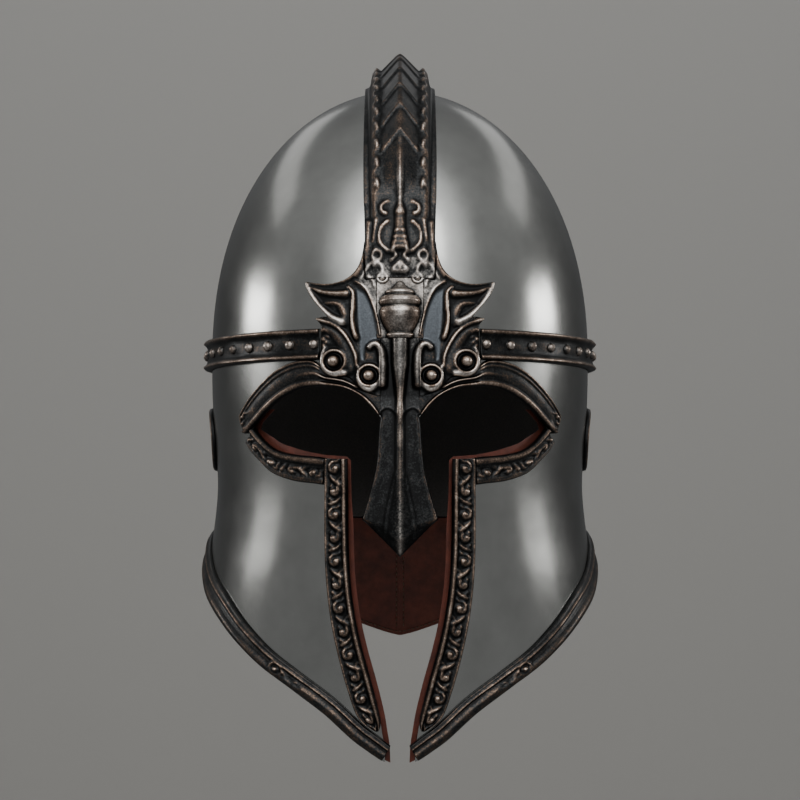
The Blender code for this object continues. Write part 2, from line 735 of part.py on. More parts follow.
def make_head_lining(parent):
    """The padded lining of the crown, down over the back of the head to the neck leather."""
    outer = -PLATE - LINING_GAP
    inner = outer - PADDING
    turns = [k * FULL_TURN / PADDING_TURNS for k in range(PADDING_TURNS)]
    rings = []
    for turn in turns:
        columns = []
        for out in (outer, inner):
            column = [surface(turn, z, out) for z in between(NECK_LEATHER_TOP, 0.0, PADDING_ROWS)]
            for j in range(1, PADDING_RINGS):
                rise = j * HALF_TURN / 2 / PADDING_RINGS
                z = (BOWL_HEIGHT + out) * math.sin(rise) ** (2 / BOWL_POWER)
                column.append(surface(turn, z, out))
            columns.append(column)
        rings.append(columns)
    size = len(rings[0][0])
    points = [point for columns in rings for column in columns for point in column]
    points += [Vector((0.0, 0.0, BOWL_HEIGHT + outer)), Vector((0.0, 0.0, BOWL_HEIGHT + inner))]
    faces = []
    for k in range(len(turns)):
        here = k * 2 * size
        after = (k + 1) % len(turns) * 2 * size
        for layer in (0, size):
            for j in range(layer, layer + size - 1):
                faces.append((here + j, here + j + 1, after + j + 1, after + j))
            top = len(points) - (2 if layer == 0 else 1)
            faces.append((here + layer + size - 1, top, after + layer + size - 1))
        faces.append((here, after, after + size, here + size))
    lining = place("head_lining", close_up("head_lining", points, faces), padding(), parent)
    reach = 2 * HALF_WIDTH

    def front_cutter(name, top, turn):
        corners = [(-reach, -CHEEK_DROP), (reach, -CHEEK_DROP), (reach, top), (-reach, top)]
        return prism(name, corners, surface(turn, NECK_LEATHER_TOP, outer).y + SEAM_GAP, parent)

    temple = front_cutter("temple_cut", CHEEK_LEATHER_TOP + 2 * GAP, CHEEK_LEATHER_END)
    brow_turn = turn_of(BROW_PADDING_HALF_WIDTH, NECK_LEATHER_TOP)
    brow = front_cutter("brow_cut", -BROW_EDGE[3].drop * CHEEK_DROP + LEATHER, brow_turn)
    cut(lining, [temple, brow])
    return lining


def make_cheek_lining(side, parent, opening):
    """Leather behind one cheek plate, showing as a thin edge round the opening."""
    name = "cheek_lining_left" if side > 0 else "cheek_lining_right"
    outer = -PLATE - LINING_GAP
    turns = [side * turn for turn in between(CHEEK_LEATHER_START, CHEEK_LEATHER_END, CHEEK_TURNS)]

    def edges(turn):
        return between(CHEEK_LEATHER_TOP, bottom(turn) + 2 * GAP, CHEEK_ROWS)

    lining = place(name, shell(name, turns, edges, outer, outer - LEATHER, False), red_leather(), parent)
    cut(lining, [opening])
    return lining


def make_neck_lining(parent):
    """The leather curtain round the back of the neck, its hem just below the steel."""
    outer = -PLATE - LINING_GAP
    start = CHEEK_LEATHER_END + 3 * GAP / HALF_WIDTH
    turns = between(start, FULL_TURN - start, NECK_TURNS)

    def edges(turn):
        hem = bottom(turn) - HEM_SHOWS * math.cos(turn) ** 2
        return between(NECK_LEATHER_TOP - 2 * GAP, hem, NECK_ROWS)

    mesh = shell("neck_lining", turns, edges, outer, outer - LEATHER, False)
    return place("neck_lining", mesh, dark_leather(), parent)


def main():
    for piece in list(bpy.data.objects):
        bpy.data.objects.remove(piece, do_unlink=True)
    helmet = bpy.data.objects.new("helmet", None)
    bpy.context.scene.collection.objects.link(helmet)
    cut_end = OPENING_CUT_END * FRONT_REACH
    metal_opening = prism("face_opening", outline(0.0, 0.0, NASAL_TAB, 0.0), cut_end, helmet)
    leather_outline = outline(LEATHER_SHOWS, LEATHER_BLUNT, NO_TAB, BROW_LEATHER_ROW)
    leather_opening = prism("leather_opening", leather_outline, cut_end, helmet)
    for side in (1, -1):
        hand = "left" if side > 0 else "right"
        make_skull(side, helmet)
        make_brow_scroll(side, helmet)
        make_edge_trim(f"eyebrow_{hand}", side, BROW_EDGE, BROW_TRIM_ROWS, BROW_CUTS, helmet)
        make_edge_trim(f"eye_rim_{hand}", side, LID_EDGE, LID_TRIM_ROWS, LID_CUTS, helmet)
        make_edge_trim(f"mouth_rim_{hand}", side, CHEEK_EDGE, CHEEK_TRIM_ROWS, CHEEK_CUTS, helmet)
        make_ear_boss(side, helmet)
        make_cheek_lining(side, helmet, leather_opening)
    make_face_guard(helmet, metal_opening)
    make_brow_band(helmet)
    make_studs(helmet)
    make_crest(helmet)
    make_lower_rim(helmet)
    make_finial(helmet)
    make_nasal(helmet)
    make_head_lining(helmet)
    make_neck_lining(helmet)


main()
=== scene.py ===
"""The looks of a visored war helmet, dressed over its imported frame: satin steel under antiqued
castings with raised scrollwork, and a leather lining. Metres, +Z up, the wearer looks along -Y.

Most pieces lie on one surface, the outside of the steel. A place on it is a turn (radians round
the head from the front, positive towards +X) and a level z. Relief is worked out in millimetres."""

import math
from collections import namedtuple

import bpy
import numpy as np
from bpy.props import FloatProperty, FloatVectorProperty, PointerProperty
from bpy.types import Operator, Panel, PropertyGroup
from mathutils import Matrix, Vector


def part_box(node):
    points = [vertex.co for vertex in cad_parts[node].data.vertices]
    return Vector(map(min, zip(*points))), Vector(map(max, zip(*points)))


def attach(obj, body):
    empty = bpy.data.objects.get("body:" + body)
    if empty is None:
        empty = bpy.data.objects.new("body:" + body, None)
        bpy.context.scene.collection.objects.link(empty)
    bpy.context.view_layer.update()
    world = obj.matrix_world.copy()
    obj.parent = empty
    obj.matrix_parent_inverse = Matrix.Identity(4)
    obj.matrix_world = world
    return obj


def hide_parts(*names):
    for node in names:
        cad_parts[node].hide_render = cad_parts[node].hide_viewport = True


bl_info = {
    "name": "Visored helmet",
    "version": (1, 0, 0),
    "blender": (4, 5, 0),
    "location": "3D View > Sidebar > Helmet",
    "description": "Dresses the packed helmet in steel, antiqued castings and leather",
    "category": "Add Mesh",
}

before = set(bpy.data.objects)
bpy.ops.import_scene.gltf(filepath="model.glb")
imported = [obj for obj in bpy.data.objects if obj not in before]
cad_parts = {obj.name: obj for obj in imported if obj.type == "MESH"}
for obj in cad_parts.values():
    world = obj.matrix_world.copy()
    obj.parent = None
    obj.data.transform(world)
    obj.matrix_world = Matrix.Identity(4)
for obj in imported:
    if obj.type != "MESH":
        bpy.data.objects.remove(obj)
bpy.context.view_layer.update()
SKULL_LOW, SKULL_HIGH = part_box("skull_plate_left")

# The steel, from the frame
HALF_WIDTH = SKULL_HIGH.x
FRONT_REACH = -SKULL_LOW.y
BACK_REACH = SKULL_HIGH.y
BOWL_HEIGHT = SKULL_HIGH.z
BOWL_POWER = 2.2
CHEEK_DROP = 0.2115

MM = 0.001
STEP = 1e-4
QUARTER_TURN = math.pi / 2
HALF_TURN = math.pi
FULL_TURN = 2 * math.pi

# Sections of the steel from the brow line down to the level of the cheek tips, evenly spaced:
# shares of HALF_WIDTH, FRONT_REACH and BACK_REACH
SECTIONS = [
    (1.000, 1.000, 1.000), (0.996, 1.000, 0.990), (0.979, 0.998, 0.957), (0.968, 0.992, 0.927),
    (0.988, 0.986, 0.943), (1.024, 0.977, 1.007), (1.047, 0.964, 1.071), (1.062, 0.943, 1.124),
    (1.070, 0.919, 1.171), (1.076, 0.887, 1.211),
]

# Lower edge every 10 degrees from the chin to the nape: share of CHEEK_DROP, and the width of the
# lower rim as a share of its widest
LOWER_EDGE = [
    (1.000, 0.42), (0.952, 0.58), (0.875, 0.64), (0.816, 0.65), (0.766, 0.70), (0.712, 0.80),
    (0.660, 0.95), (0.615, 1.00), (0.565, 1.00), (0.525, 1.00), (0.506, 0.95), (0.505, 0.90),
    (0.522, 0.85), (0.556, 0.80), (0.598, 0.80), (0.642, 0.80), (0.682, 0.80), (0.717, 0.80),
    (0.742, 0.80),
]

# Edge of the face opening on one side: across of HALF_WIDTH, drop of CHEEK_DROP, and the width of
# the trim along it as a share of its widest
BROW_EDGE = [
    (0.142, 0.137, 0.16), (0.191, 0.112, 0.20), (0.267, 0.0945, 0.24), (0.355, 0.0885, 0.42),
    (0.405, 0.0885, 0.86), (0.480, 0.0935, 0.98), (0.560, 0.1110, 1.00), (0.635, 0.1380, 0.98),
    (0.700, 0.1700, 0.95), (0.752, 0.1960, 0.80), (0.772, 0.2060, 0.62),
]
EYE_CORNER_ROW = 8.4
LID_EDGE = [
    (0.727, 0.1840, 0.50), (0.694, 0.2040, 0.66), (0.650, 0.2260, 0.78), (0.588, 0.2450, 0.90),
    (0.500, 0.2550, 0.98), (0.400, 0.2600, 1.00), (0.363, 0.2625, 1.00), (0.262, 0.2665, 1.00),
]
CHEEK_EDGE = [
    (0.254, 0.2690, 0.86), (0.251, 0.3600, 0.90), (0.249, 0.4600, 0.91), (0.240, 0.5550, 0.91),
    (0.216, 0.6450, 0.92), (0.180, 0.7250, 0.93), (0.138, 0.8000, 0.93), (0.103, 0.8700, 0.80),
    (0.086, 0.9200, 0.30), (0.074, 0.9700, 0.30), (0.066, 1.1200, 0.30),
]
TIP_ACROSS = 0.086
NASAL_TAB = [(0.070, 0.245), (0.072, 0.205), (0.086, 0.172), (0.110, 0.152)]
NO_TAB = [(0.110, 0.100)]

# Comb from the brow over the crown to the nape: shares of its half width and height
CREST_START = math.radians(11.7)
CREST_END = math.radians(175.5)
CREST_HALF_WIDTH = 0.0183
CREST = [
    (0.93, 0.40), (0.99, 0.50), (1.00, 0.68), (1.00, 0.88), (1.00, 1.00), (1.00, 1.00),
    (1.00, 0.86), (0.98, 0.64), (0.90, 0.42),
]

# Ridges of the brow ornament on one side, in mm across from the middle and up from the brow line:
# a path, its half width at each end, and its rise
Ridge = namedtuple("Ridge", "path start end rise")
HORN_RIDGES = [
    Ridge([(15.2, 64), (15.8, 53.8), (17.8, 45.7), (20.8, 38.9), (25.4, 34.9), (32.9, 32.9),
           (40.6, 33.0), (47.0, 34.2)], 1.5, 0.6, 1.5),
    Ridge([(44.0, 31.0), (38.6, 28.6), (32.0, 27.4), (26.4, 27.4)], 0.8, 2.1, 2.1),
    Ridge([(37.4, 22.6), (33.0, 22.8), (29.6, 21.4), (27.4, 16.8), (27.4, 12.6)], 0.8, 2.2, 1.3),
    Ridge([(25.6, 30.8), (23.2, 28.0), (22.9, 22.0), (23.4, 14.6), (22.6, 9.0), (21.4, 5.4)],
          0.7, 1.5, 2.5),
    Ridge([(39.4, 9.0), (36.8, 9.0), (35.0, 7.6)], 0.9, 0.5, 1.9),
    Ridge([(22.2, 33.6), (17.2, 30.2), (13.9, 23.4), (11.2, 14.7), (9.7, 6.4)], 0.6, 0.5, 1.3),
    Ridge([(42.0, 14.9), (35.0, 12.9), (29.3, 9.3), (24.9, 3.4), (21.8, -3.6), (21.2, -9.6)],
          1.3, 0.8, 2.5),
    Ridge([(38.0, 11.2), (32.4, 7.4), (28.4, 2.2), (26.0, -3.2), (24.8, -10.0)], 1.6, 3.4, 1.5),
]
BRIGHT_RIDGES = [
    Ridge([(46.6, 33.4), (42.4, 25.4), (38.2, 20.0), (34.0, 15.9), (28.8, 13.0)], 0.9, 2.3, 2.8),
    Ridge([(37.0, 0.4), (38.7, -5.4), (37.2, -10.6), (32.6, -13.4), (27.0, -12.6)], 0.7, 1.7, 2.5),
    Ridge([(20.2, -9.0), (20.7, -15.4), (18.4, -19.6), (14.8, -21.2), (11.6, -19.0)], 0.7, 1.7, 2.5),
    Ridge([(14.8, 0.4), (12.4, 2.2), (9.4, -0.6), (8.4, -7.0), (8.6, -18.5)], 1.6, 2.4, 3.2),
]
PANEL_RIDGES = [
    Ridge([(11.4, 66.0), (12.6, 58.3), (14.9, 50), (17.6, 41.6), (21.6, 35.6)], 0.6, 0.6, 1.2),
    Ridge([(5.6, 75.5), (8.9, 73.2), (8.7, 69.7), (6.9, 68.6)], 0.6, 1.2, 1.8),
    Ridge([(6.1, 64.5), (8.2, 62.4), (9.6, 59.0)], 1.3, 0.5, 1.5),
    Ridge([(9.4, 63.0), (10.2, 57.0), (9.2, 52.5), (6.0, 49.4)], 0.5, 1.1, 1.6),
    Ridge([(13.4, 43.6), (15.6, 41.6), (17.4, 38.0), (19.6, 34.4)], 1.0, 0.5, 1.3),
    Ridge([(12.6, 42.0), (10.4, 42.8), (8.6, 40.4), (8.8, 37.6)], 1.3, 0.5, 1.5),
    Ridge([(15.6, 36.2), (13.4, 34.0), (12.8, 30.6)], 1.1, 0.5, 1.3),
    Ridge([(0, 75.5), (0, 69.4)], 0.6, 2.8, 2.6),
    Ridge([(0, 67.0), (0, 61.6)], 2.6, 2.8, 1.8),
    Ridge([(4.2, 49.0), (1.6, 46.8), (4.2, 44.4)], 1.1, 0.9, 1.7),
    Ridge([(0, 43.8), (3.4, 39.6), (0, 38.6)], 1.2, 1.2, 1.6),
]
PANEL_SCALES = [(59.4, 3.1), (56.4, 3.7), (53.6, 4.3), (51.0, 4.7)]

# Turned balls and rings of the brow ornament: across, up, radius, rise
Knob = namedtuple("Knob", "across up radius rise")
VOLUTE_BALLS = [Knob(32.2, -6.6, 3.3, 5.0), Knob(15.0, -14.0, 3.2, 5.0)]
VOLUTE_RINGS = [Knob(32.2, -6.6, 5.5, 2.6), Knob(15.0, -14.0, 5.2, 2.6)]
PANEL_BALLS = [
    Knob(8.6, 35.2, 1.3, 1.7), Knob(0, 41.0, 1.7, 2.0), Knob(7.1, 68.9, 1.2, 1.9),
    Knob(38.0, 4.6, 1.0, 1.2), Knob(36.4, 3.0, 0.9, 1.1), Knob(38.0, 1.6, 0.9, 1.1),
    Knob(35.6, 5.6, 0.8, 1.0), Knob(36.6, 6.4, 0.7, 0.9),
]
PANEL_RINGS = [Knob(11.4, 47.0, 2.5, 1.4), Knob(8.6, 35.2, 2.4, 1.2)]

# Edge of the silver ground about the finial: across and up, from the bottom
SILVER_EDGE = np.array([
    (9.0, 4), (9.6, 10), (11.0, 16), (13.2, 23), (16.6, 29), (21.0, 34), (17.6, 40), (14.0, 50),
    (11.0, 58),
])

# Outline of the brow scroll on one side: smooth runs that meet at its sharp points
SCROLL_RUNS = [
    [(17.9, 56.0), (19.6, 45.4), (22.8, 39.0), (27.9, 34.9), (34.6, 33.1), (40.8, 33.4), (47.5, 34.7)],
    [(47.5, 34.7), (45.9, 27.9), (41.8, 22.5), (37.6, 17.7), (35.6, 15.7)],
    [(35.6, 15.7), (38.6, 16.4), (42.2, 15.4)],
    [(42.2, 15.4), (40.4, 13.0), (39.4, 10.4)],
    [(39.4, 10.4), (39.4, 0.2)],
    [(39.4, 0.2), (39.9, -4.0), (40.2, -8.0), (38.0, -12.6), (32.8, -15.0), (27.4, -14.8), (24.0, -16.8),
     (21.2, -20.8), (15.6, -23.4), (11.4, -24.4), (9.6, -24.2)],
    [(9.6, -24.2), (9.5, 4.8)],
    [(9.5, 4.8), (11.45, 4.8)],
    [(11.45, 4.8), (11.45, 35.0)],
    [(11.45, 35.0), (17.0, 34.8)],
    [(17.0, 34.8), (17.3, 42.0), (17.9, 56.0)],
]
BLUE_PANEL = [
    (21.8, 30.4), (17.4, 28.4), (13.6, 21.0), (11.4, 12.0), (10.6, 3.6), (16.2, 1.4), (17.2, -6.0),
    (19.8, -5.0), (20.6, 8.0), (21.4, 19.6),
]

# Baluster of the finial from its bud down: level and radius in mm
FINIAL = [
    (34.2, 0.3), (33.0, 1.8), (31.0, 3.1), (29.4, 4.7), (28.8, 5.6), (28.4, 6.9), (27.4, 7.5),
    (26.4, 7.1), (26.0, 6.9), (25.5, 8.6), (24.6, 9.7), (23.0, 10.4), (21.4, 9.9), (20.6, 9.0),
    (20.2, 8.8), (19.8, 9.6), (17.6, 10.1), (15.0, 9.7), (12.4, 8.8), (9.8, 7.5), (7.8, 6.4),
    (7.2, 6.1), (6.9, 6.9), (5.9, 7.1), (5.2, 6.6),
]

# Half width of the nose guard by level, in mm, and the end of its front face
NASAL_SIDE = [
    (4.8, 9.45), (-20.0, 9.5), (-28.0, 9.7), (-33.6, 9.9), (-35.0, 9.5), (-41.5, 10.2), (-56.6, 11.2),
    (-66.6, 13.1), (-76.7, 15.7), (-84.2, 18.0), (-86.6, 18.6),
]
NASAL_TIP = -105.3
NASAL_FACE_END = [(18.7, -86.6), (8.6, -89.2), (7.4, -90.6), (0.0, -97.3)]
NASAL_COLLAR_END = -33.4


def linear(code):
    """Linear colour of an sRGB hex value."""
    shares = [int(code[k:k + 2], 16) / 255 for k in (1, 3, 5)]
    return [c / 12.92 if c <= 0.04045 else ((c + 0.055) / 1.055) ** 2.4 for c in shares]


# Settings for the sidebar

def length_setting(name, description, default):
    """A length in metres."""
    return FloatProperty(name=name, description=description, default=default, min=0.0, precision=4,
                         subtype="DISTANCE", unit="LENGTH")


def colour_setting(name, description, code):
    """A colour, with its default as an sRGB code."""
    return FloatVectorProperty(name=name, description=description, default=linear(code), size=3, min=0.0,
                               max=1.0, subtype="COLOR")


def power_setting(name, description, default):
    """Watts of each lamp of a pair."""
    return FloatProperty(name=name, description=description, default=default, min=0.0, subtype="POWER",
                         unit="POWER")


class HelmetSizes(PropertyGroup):
    """Sizes of the visible pieces"""

    plate: length_setting("Steel", "Thickness of the steel plates", 0.0016)
    band_width: length_setting("Band", "Height of the brow band", 0.0158)
    stud_radius: length_setting("Studs", "Radius of a brow stud at its foot", 0.00275)
    comb_height: length_setting("Comb", "Height of the comb over the bowl", 0.0205)
    trim_width: length_setting("Trim", "Width of the trim round the eyes and the mouth", 0.0135)
    rim_width: length_setting("Lower rim", "Widest part of the lower rim", 0.0150)
    boss_radius: length_setting("Ear boss", "Radius of an ear boss", 0.0176)
    leather: length_setting("Leather", "Thickness of the leather", 0.0026)
    leather_border: length_setting("Leather border", "How far the leather shows past the metal", 0.0017)
    lid_border: length_setting("Eye border", "How much further the leather shows under the eyes", 0.0024)


class HelmetColours(PropertyGroup):
    """Colours of the materials"""

    steel: colour_setting("Steel", "Satin polished steel", "#9f9f9b")
    hollow: colour_setting("Hollows", "Antiquing left in the hollows of the castings", "#1c1c1c")
    field: colour_setting("Fields", "Blackened flat parts of the castings", "#333434")
    shoulder: colour_setting("Shoulders", "Waxed brown shoulders of the relief", "#806d5f")
    rubbed: colour_setting("Rubbed relief", "Tops of the relief, rubbed back", "#c4b3a4")
    # Also the colour of the painted highlight down the middle of the finial
    silver: colour_setting("Silver", "Brightest rubbed metal at the brow", "#e6e0d8")
    panel: colour_setting("Panels", "Slate grey panels beside the finial", "#54585c")
    cheek_leather: colour_setting("Cheek leather", "Leather behind the cheek plates", "#7e4132")
    # Painted light: the leather's brown, set paler than it is to make up for the shade behind the neck
    neck_leather: colour_setting("Neck leather", "Leather behind the neck", "#8a4a3a")
    felt: colour_setting("Felt", "Padding of the crown, set pale for its shade", "#868686")
    thread: colour_setting("Thread", "Stitches of the neck leather", "#8a7460")


class HelmetStage(PropertyGroup):
    """Light and backdrop"""

    side_watts: power_setting("Side lamps", "Power of each lamp beside the helmet", 6.8)
    low_watts: power_setting("Low lamps", "Power of each lamp at the height of the cheeks", 0.9)
    rear_watts: power_setting("Rear lamps", "Power of each high lamp behind the helmet", 1.8)
    front_watts: power_setting("Front lamps", "Power of each high lamp in front of the helmet", 3.9)
    window_glow: FloatProperty(name="Window", description="Brightness of the soft window overhead",
                               default=2.3, min=0.0)
    backdrop: colour_setting("Backdrop", "Matt paint of the floor and the backdrop", "#a9a7a3")


# Shapes shared with the frame

def rows_at(rows, at, level_start=False):
    """Values at fractional places of a table, on a smooth curve through its rows."""
    table = np.array(rows, float)
    last = len(table) - 1
    at = np.clip(np.asarray(at, float), 0, last)
    first = np.minimum(at.astype(int), last - 1)
    t = (at - first)[..., None]
    padded = np.vstack([table[1] if level_start else table[0], table, table[-1]])
    a, b, c, d = (padded[first + k] for k in range(4))
    return b + 0.5 * t * (c - a + t * (2 * a - 5 * b + 4 * c - d + t * (3 * (b - c) + d - a)))


def section(z, out):
    """Half width, mid reach and lean of the plan of the steel at each level, moved out by out."""
    shares = rows_at(SECTIONS, np.maximum(-z, 0) / CHEEK_DROP * (len(SECTIONS) - 1), True)
    front = shares[..., 1] * FRONT_REACH + out
    back = shares[..., 2] * BACK_REACH + out
    return shares[..., 0] * HALF_WIDTH + out, (front + back) / 2, (front - back) / 2


def bowl_share(z, out):
    """Size of the bowl's plan at each level, as a share of its plan at the brow."""
    return np.sqrt(np.clip(1 - (np.maximum(z, 0) / (BOWL_HEIGHT + out)) ** BOWL_POWER, 0, 1))


def plan_point(sideways, forward, z, out):
    """Points of the steel from their places in the plan, each from -1 to 1."""
    width, middle, lean = section(z, out)
    return np.stack([width * sideways, -(middle * forward + lean * forward ** 2), z + 0 * sideways], -1)


def surface(turn, z, out=0.0):
    """Points of the steel at turns and levels, moved out by out."""
    share = bowl_share(z, out)
    return plan_point(share * np.sin(turn), share * np.cos(turn), z, out)


def unit(vectors):
    """Vectors brought to a length of one."""
    return vectors / np.maximum(np.linalg.norm(vectors, axis=-1, keepdims=True), 1e-12)


def tangents(turn, z):
    """The way round and the way up at places on the steel, each per unit of turn or level."""
    around = (surface(turn + STEP, z) - surface(turn - STEP, z)) / (2 * STEP)
    upward = (surface(turn, z + STEP) - surface(turn, z - STEP)) / (2 * STEP)
    return around, upward


def lifted(turn, z, height):
    """Points at heights above the steel, square to it."""
    around, upward = tangents(turn, z)
    return surface(turn, z) + unit(np.cross(around, upward)) * np.asarray(height)[..., None]


def turn_of(across, z):
    """Turns of the points on the front that lie across metres from the middle."""
    width = section(z, 0.0)[0] * bowl_share(z, 0.0)
    return np.arcsin(np.clip(across / width, -1, 1))


def comb_point(across, over, height):
    """Points above the bowl at distances from its middle line and angles over the crown."""

    def base(side, angle):
        sideways = np.arcsin(side / HALF_WIDTH)
        rise = np.clip(np.cos(sideways) * np.sin(angle), 0, None)
        z = BOWL_HEIGHT * rise ** (2 / BOWL_POWER)
        return plan_point(np.sin(sideways), np.cos(sideways) * np.cos(angle), z, 0.0)

    sidewards = base(across + STEP, over) - base(across - STEP, over)
    onwards = base(across, over + STEP) - base(across, over - STEP)
    return base(across, over) + unit(np.cross(sidewards, onwards)) * np.asarray(height)[..., None]


def lower_row(turn):
    """Rows of the lower edge at turns on either side, and how far round from the front they are."""
    apart = np.abs((turn + HALF_TURN) % FULL_TURN - HALF_TURN)
    return rows_at(LOWER_EDGE, apart / HALF_TURN * (len(LOWER_EDGE) - 1), True), apart


def bottom(turn):
    """Levels of the lower edge at turns on either side."""
    return -lower_row(turn)[0][..., 0] * CHEEK_DROP


# Relief in millimetres

def bead(at, centre, half, rise):
    """A half-round moulding along a run."""
    return rise * np.sqrt(np.clip(1 - ((at - centre) / half) ** 2, 0, 1))


def mouldings(at, table):
    """The highest of a table of half-round mouldings."""
    return np.maximum.reduce([bead(at, *row) for row in table])


def swell(share):
    """A smooth step from 0 to 1."""
    share = np.clip(share, 0, 1)
    return share * share * (3 - 2 * share)


def rounded_edge(inside, reach):
    """Share of the full height near an edge that is rounded over."""
    return np.sqrt(np.clip(1 - (1 - np.clip(inside / reach, 0, 1)) ** 2, 0, 1))


def circle(count):
    """Angles of points evenly round a circle."""
    return np.linspace(0, FULL_TURN, count + 1)[:-1]


def along(points, count=12):
    """Points of a smooth curve through a few given ones."""
    return rows_at(points, np.linspace(0, len(points) - 1, (len(points) - 1) * count + 1))


def ridge_field(x, z, path, start, end, rise):
    """Height of a rounded ridge that narrows along a path."""
    line = along(path, 6)
    field = np.zeros(x.shape)
    reach = max(start, end)
    near = (x > line[:, 0].min() - reach) & (x < line[:, 0].max() + reach)
    near &= (z > line[:, 1].min() - reach) & (z < line[:, 1].max() + reach)
    if not near.any():
        return field
    px, pz = x[near], z[near]
    best = np.zeros(px.shape)
    count = len(line) - 1
    for k in range(count):
        (ax, az), (bx, bz) = line[k], line[k + 1]
        length = max((bx - ax) ** 2 + (bz - az) ** 2, 1e-9)
        t = np.clip(((px - ax) * (bx - ax) + (pz - az) * (bz - az)) / length, 0, 1)
        half = start + (end - start) * (k + t) / count
        apart = (px - ax - t * (bx - ax)) ** 2 + (pz - az - t * (bz - az)) ** 2
        best = np.maximum(best, np.sqrt(half / reach) * np.sqrt(np.clip(1 - apart / half ** 2, 0, 1)))
    field[near] = best * rise
    return field


def ridges(x, z, table):
    """The highest of a table of ridges at each place."""
    field = np.zeros(x.shape)
    for row in table:
        field = np.maximum(field, ridge_field(x, z, row.path, row.start, row.end, row.rise))
    return field


def ball(x, z, knob):
    """Height of a domed boss."""
    return bead(np.hypot(x - knob.across, z - knob.up), 0, knob.radius, knob.rise)


def ring(x, z, knob, half):
    """Height of a raised ring, half wide on each side of its radius."""
    return bead(np.hypot(x - knob.across, z - knob.up), knob.radius, half, knob.rise)


def curl(across, up, radius, turns, start, hand):
    """Path of a volute that winds inwards."""
    steps = np.linspace(0, 1, 9)
    angles = start + hand * turns * FULL_TURN * steps
    radii = radius * (1 - 0.72 * steps)
    return [(across + r * math.cos(a), up + r * math.sin(a)) for r, a in zip(radii, angles)]


def brow_ornament(x, z):
    """Relief of the scrolls, horns and volutes about the brow, above their ground."""
    x = np.abs(x)
    field = ridges(x, z, HORN_RIDGES + BRIGHT_RIDGES + PANEL_RIDGES)
    for level, half in PANEL_SCALES:
        scale = bead(z, level - 0.045 * x ** 2, 1.45, 2.3) * swell((half - x) / 0.8)
        field = np.maximum(field, scale)
    for knob in VOLUTE_BALLS + PANEL_BALLS:
        field = np.maximum(field, ball(x, z, knob))
    for knob in VOLUTE_RINGS:
        field = np.maximum(field, ring(x, z, knob, 1.0))
    for knob in PANEL_RINGS:
        field = np.maximum(field, ring(x, z, knob, 0.7))
    return field


def brow_shine(x, z):
    """How silver the brow is rubbed: on its bright ridges, and on the ground about the finial."""
    x = np.abs(x)
    edge = np.interp(z, SILVER_EDGE[:, 1], SILVER_EDGE[:, 0])
    ground = 0.8 * swell((edge - x) / 1.5 + 0.5) * swell((54 - z) / 14) * swell((z - 4) / 3)
    return np.maximum(ground, 0.7 * swell(ridges(x, z, BRIGHT_RIDGES) / 2.2))


# A length of running vine, in mm: its pitch, half its depth, and its stems, curls and buds
VINE_PITCH = 22.0
VINE_HALF = 3.2
VINE = [
    Ridge(curl(4.2, 0.1, 2.7, 0.85, 2.4, -1), 1.15, 0.8, 2.0),
    Ridge([(0.2, -2.2), (1.3, -0.6), (1.2, 1.4)], 0.5, 0.8, 1.5),
    Ridge([(7.4, 2.7), (9.4, 1.2), (11.4, -1.3), (12.2, -2.8)], 0.5, 1.5, 2.1),
    Ridge([(9.0, -2.9), (10.0, -1.2), (10.3, 0.2)], 0.9, 0.4, 1.5),
    Ridge(curl(15.2, 0.4, 2.5, 0.8, -2.2, 1), 1.15, 0.8, 2.0),
    Ridge([(18.4, -2.7), (19.9, -1.0), (21.4, 1.6), (21.9, 2.9)], 0.5, 1.4, 2.1),
    Ridge([(18.6, 2.6), (19.6, 1.6), (19.8, 0.4)], 0.8, 0.4, 1.5),
]
VINE_BUDS = [Knob(4.2, 0.1, 1.2, 2.4), Knob(15.2, 0.4, 1.1, 2.4), Knob(12.9, 1.9, 0.8, 1.5)]


def vine(u, v, length, depth):
    """Relief of a running vine in a field depth wide, v from its middle: curls with a bud, and
    leaves that lie across between them."""
    count = max(1, round(length / VINE_PITCH))
    pitch = length / count
    place_along = (u % pitch) * VINE_PITCH / pitch
    side = v * 2 * VINE_HALF / depth
    field = ridges(place_along, side, VINE)
    for knob in VINE_BUDS:
        field = np.maximum(field, ball(place_along, side, knob))
    return field


def smear(field, reach):
    """A field averaged over reach steps each way, twice."""
    for _ in range(2):
        for axis in (0, 1):
            pad = [(reach + 1, reach) if k == axis else (0, 0) for k in (0, 1)]
            total = np.cumsum(np.pad(field, pad, mode="edge"), axis=axis)
            size = 2 * reach + 1
            upper = np.take(total, range(size, total.shape[axis]), axis=axis)
            lower = np.take(total, range(0, total.shape[axis] - size), axis=axis)
            field = (upper - lower) / size
    return field


def rubbed(field, reach, depth):
    """How proud each place stands of what is round it, from 0 in a hollow to 1 on a ridge."""
    return np.clip(0.42 + (field - smear(field, reach)) / depth, 0, 1)


# Meshes

def mesh_of(name, points, groups, marks=None):
    """A smooth mesh. groups are arrays of faces, each of one size; marks are values at its points."""
    mesh = bpy.data.meshes.new(name)
    points = np.asarray(points, np.float32)
    groups = [np.asarray(group, np.int32) for group in groups if len(group)]
    mesh.vertices.add(len(points))
    mesh.vertices.foreach_set("co", points.ravel())
    corners = np.concatenate([group.ravel() for group in groups])
    sizes = np.concatenate([np.full(len(group), group.shape[1]) for group in groups])
    mesh.loops.add(len(corners))
    mesh.loops.foreach_set("vertex_index", corners)
    mesh.polygons.add(len(sizes))
    starts = np.concatenate([[0], np.cumsum(sizes)[:-1]]).astype(np.int32)
    mesh.polygons.foreach_set("loop_start", starts)
    mesh.update(calc_edges=True)
    mesh.validate()
    for key, values in (marks or {}).items():
        mark = mesh.attributes.new(key, "FLOAT", "POINT")
        mark.data.foreach_set("value", np.asarray(values, np.float32).ravel())
    mesh.shade_smooth()
    return mesh


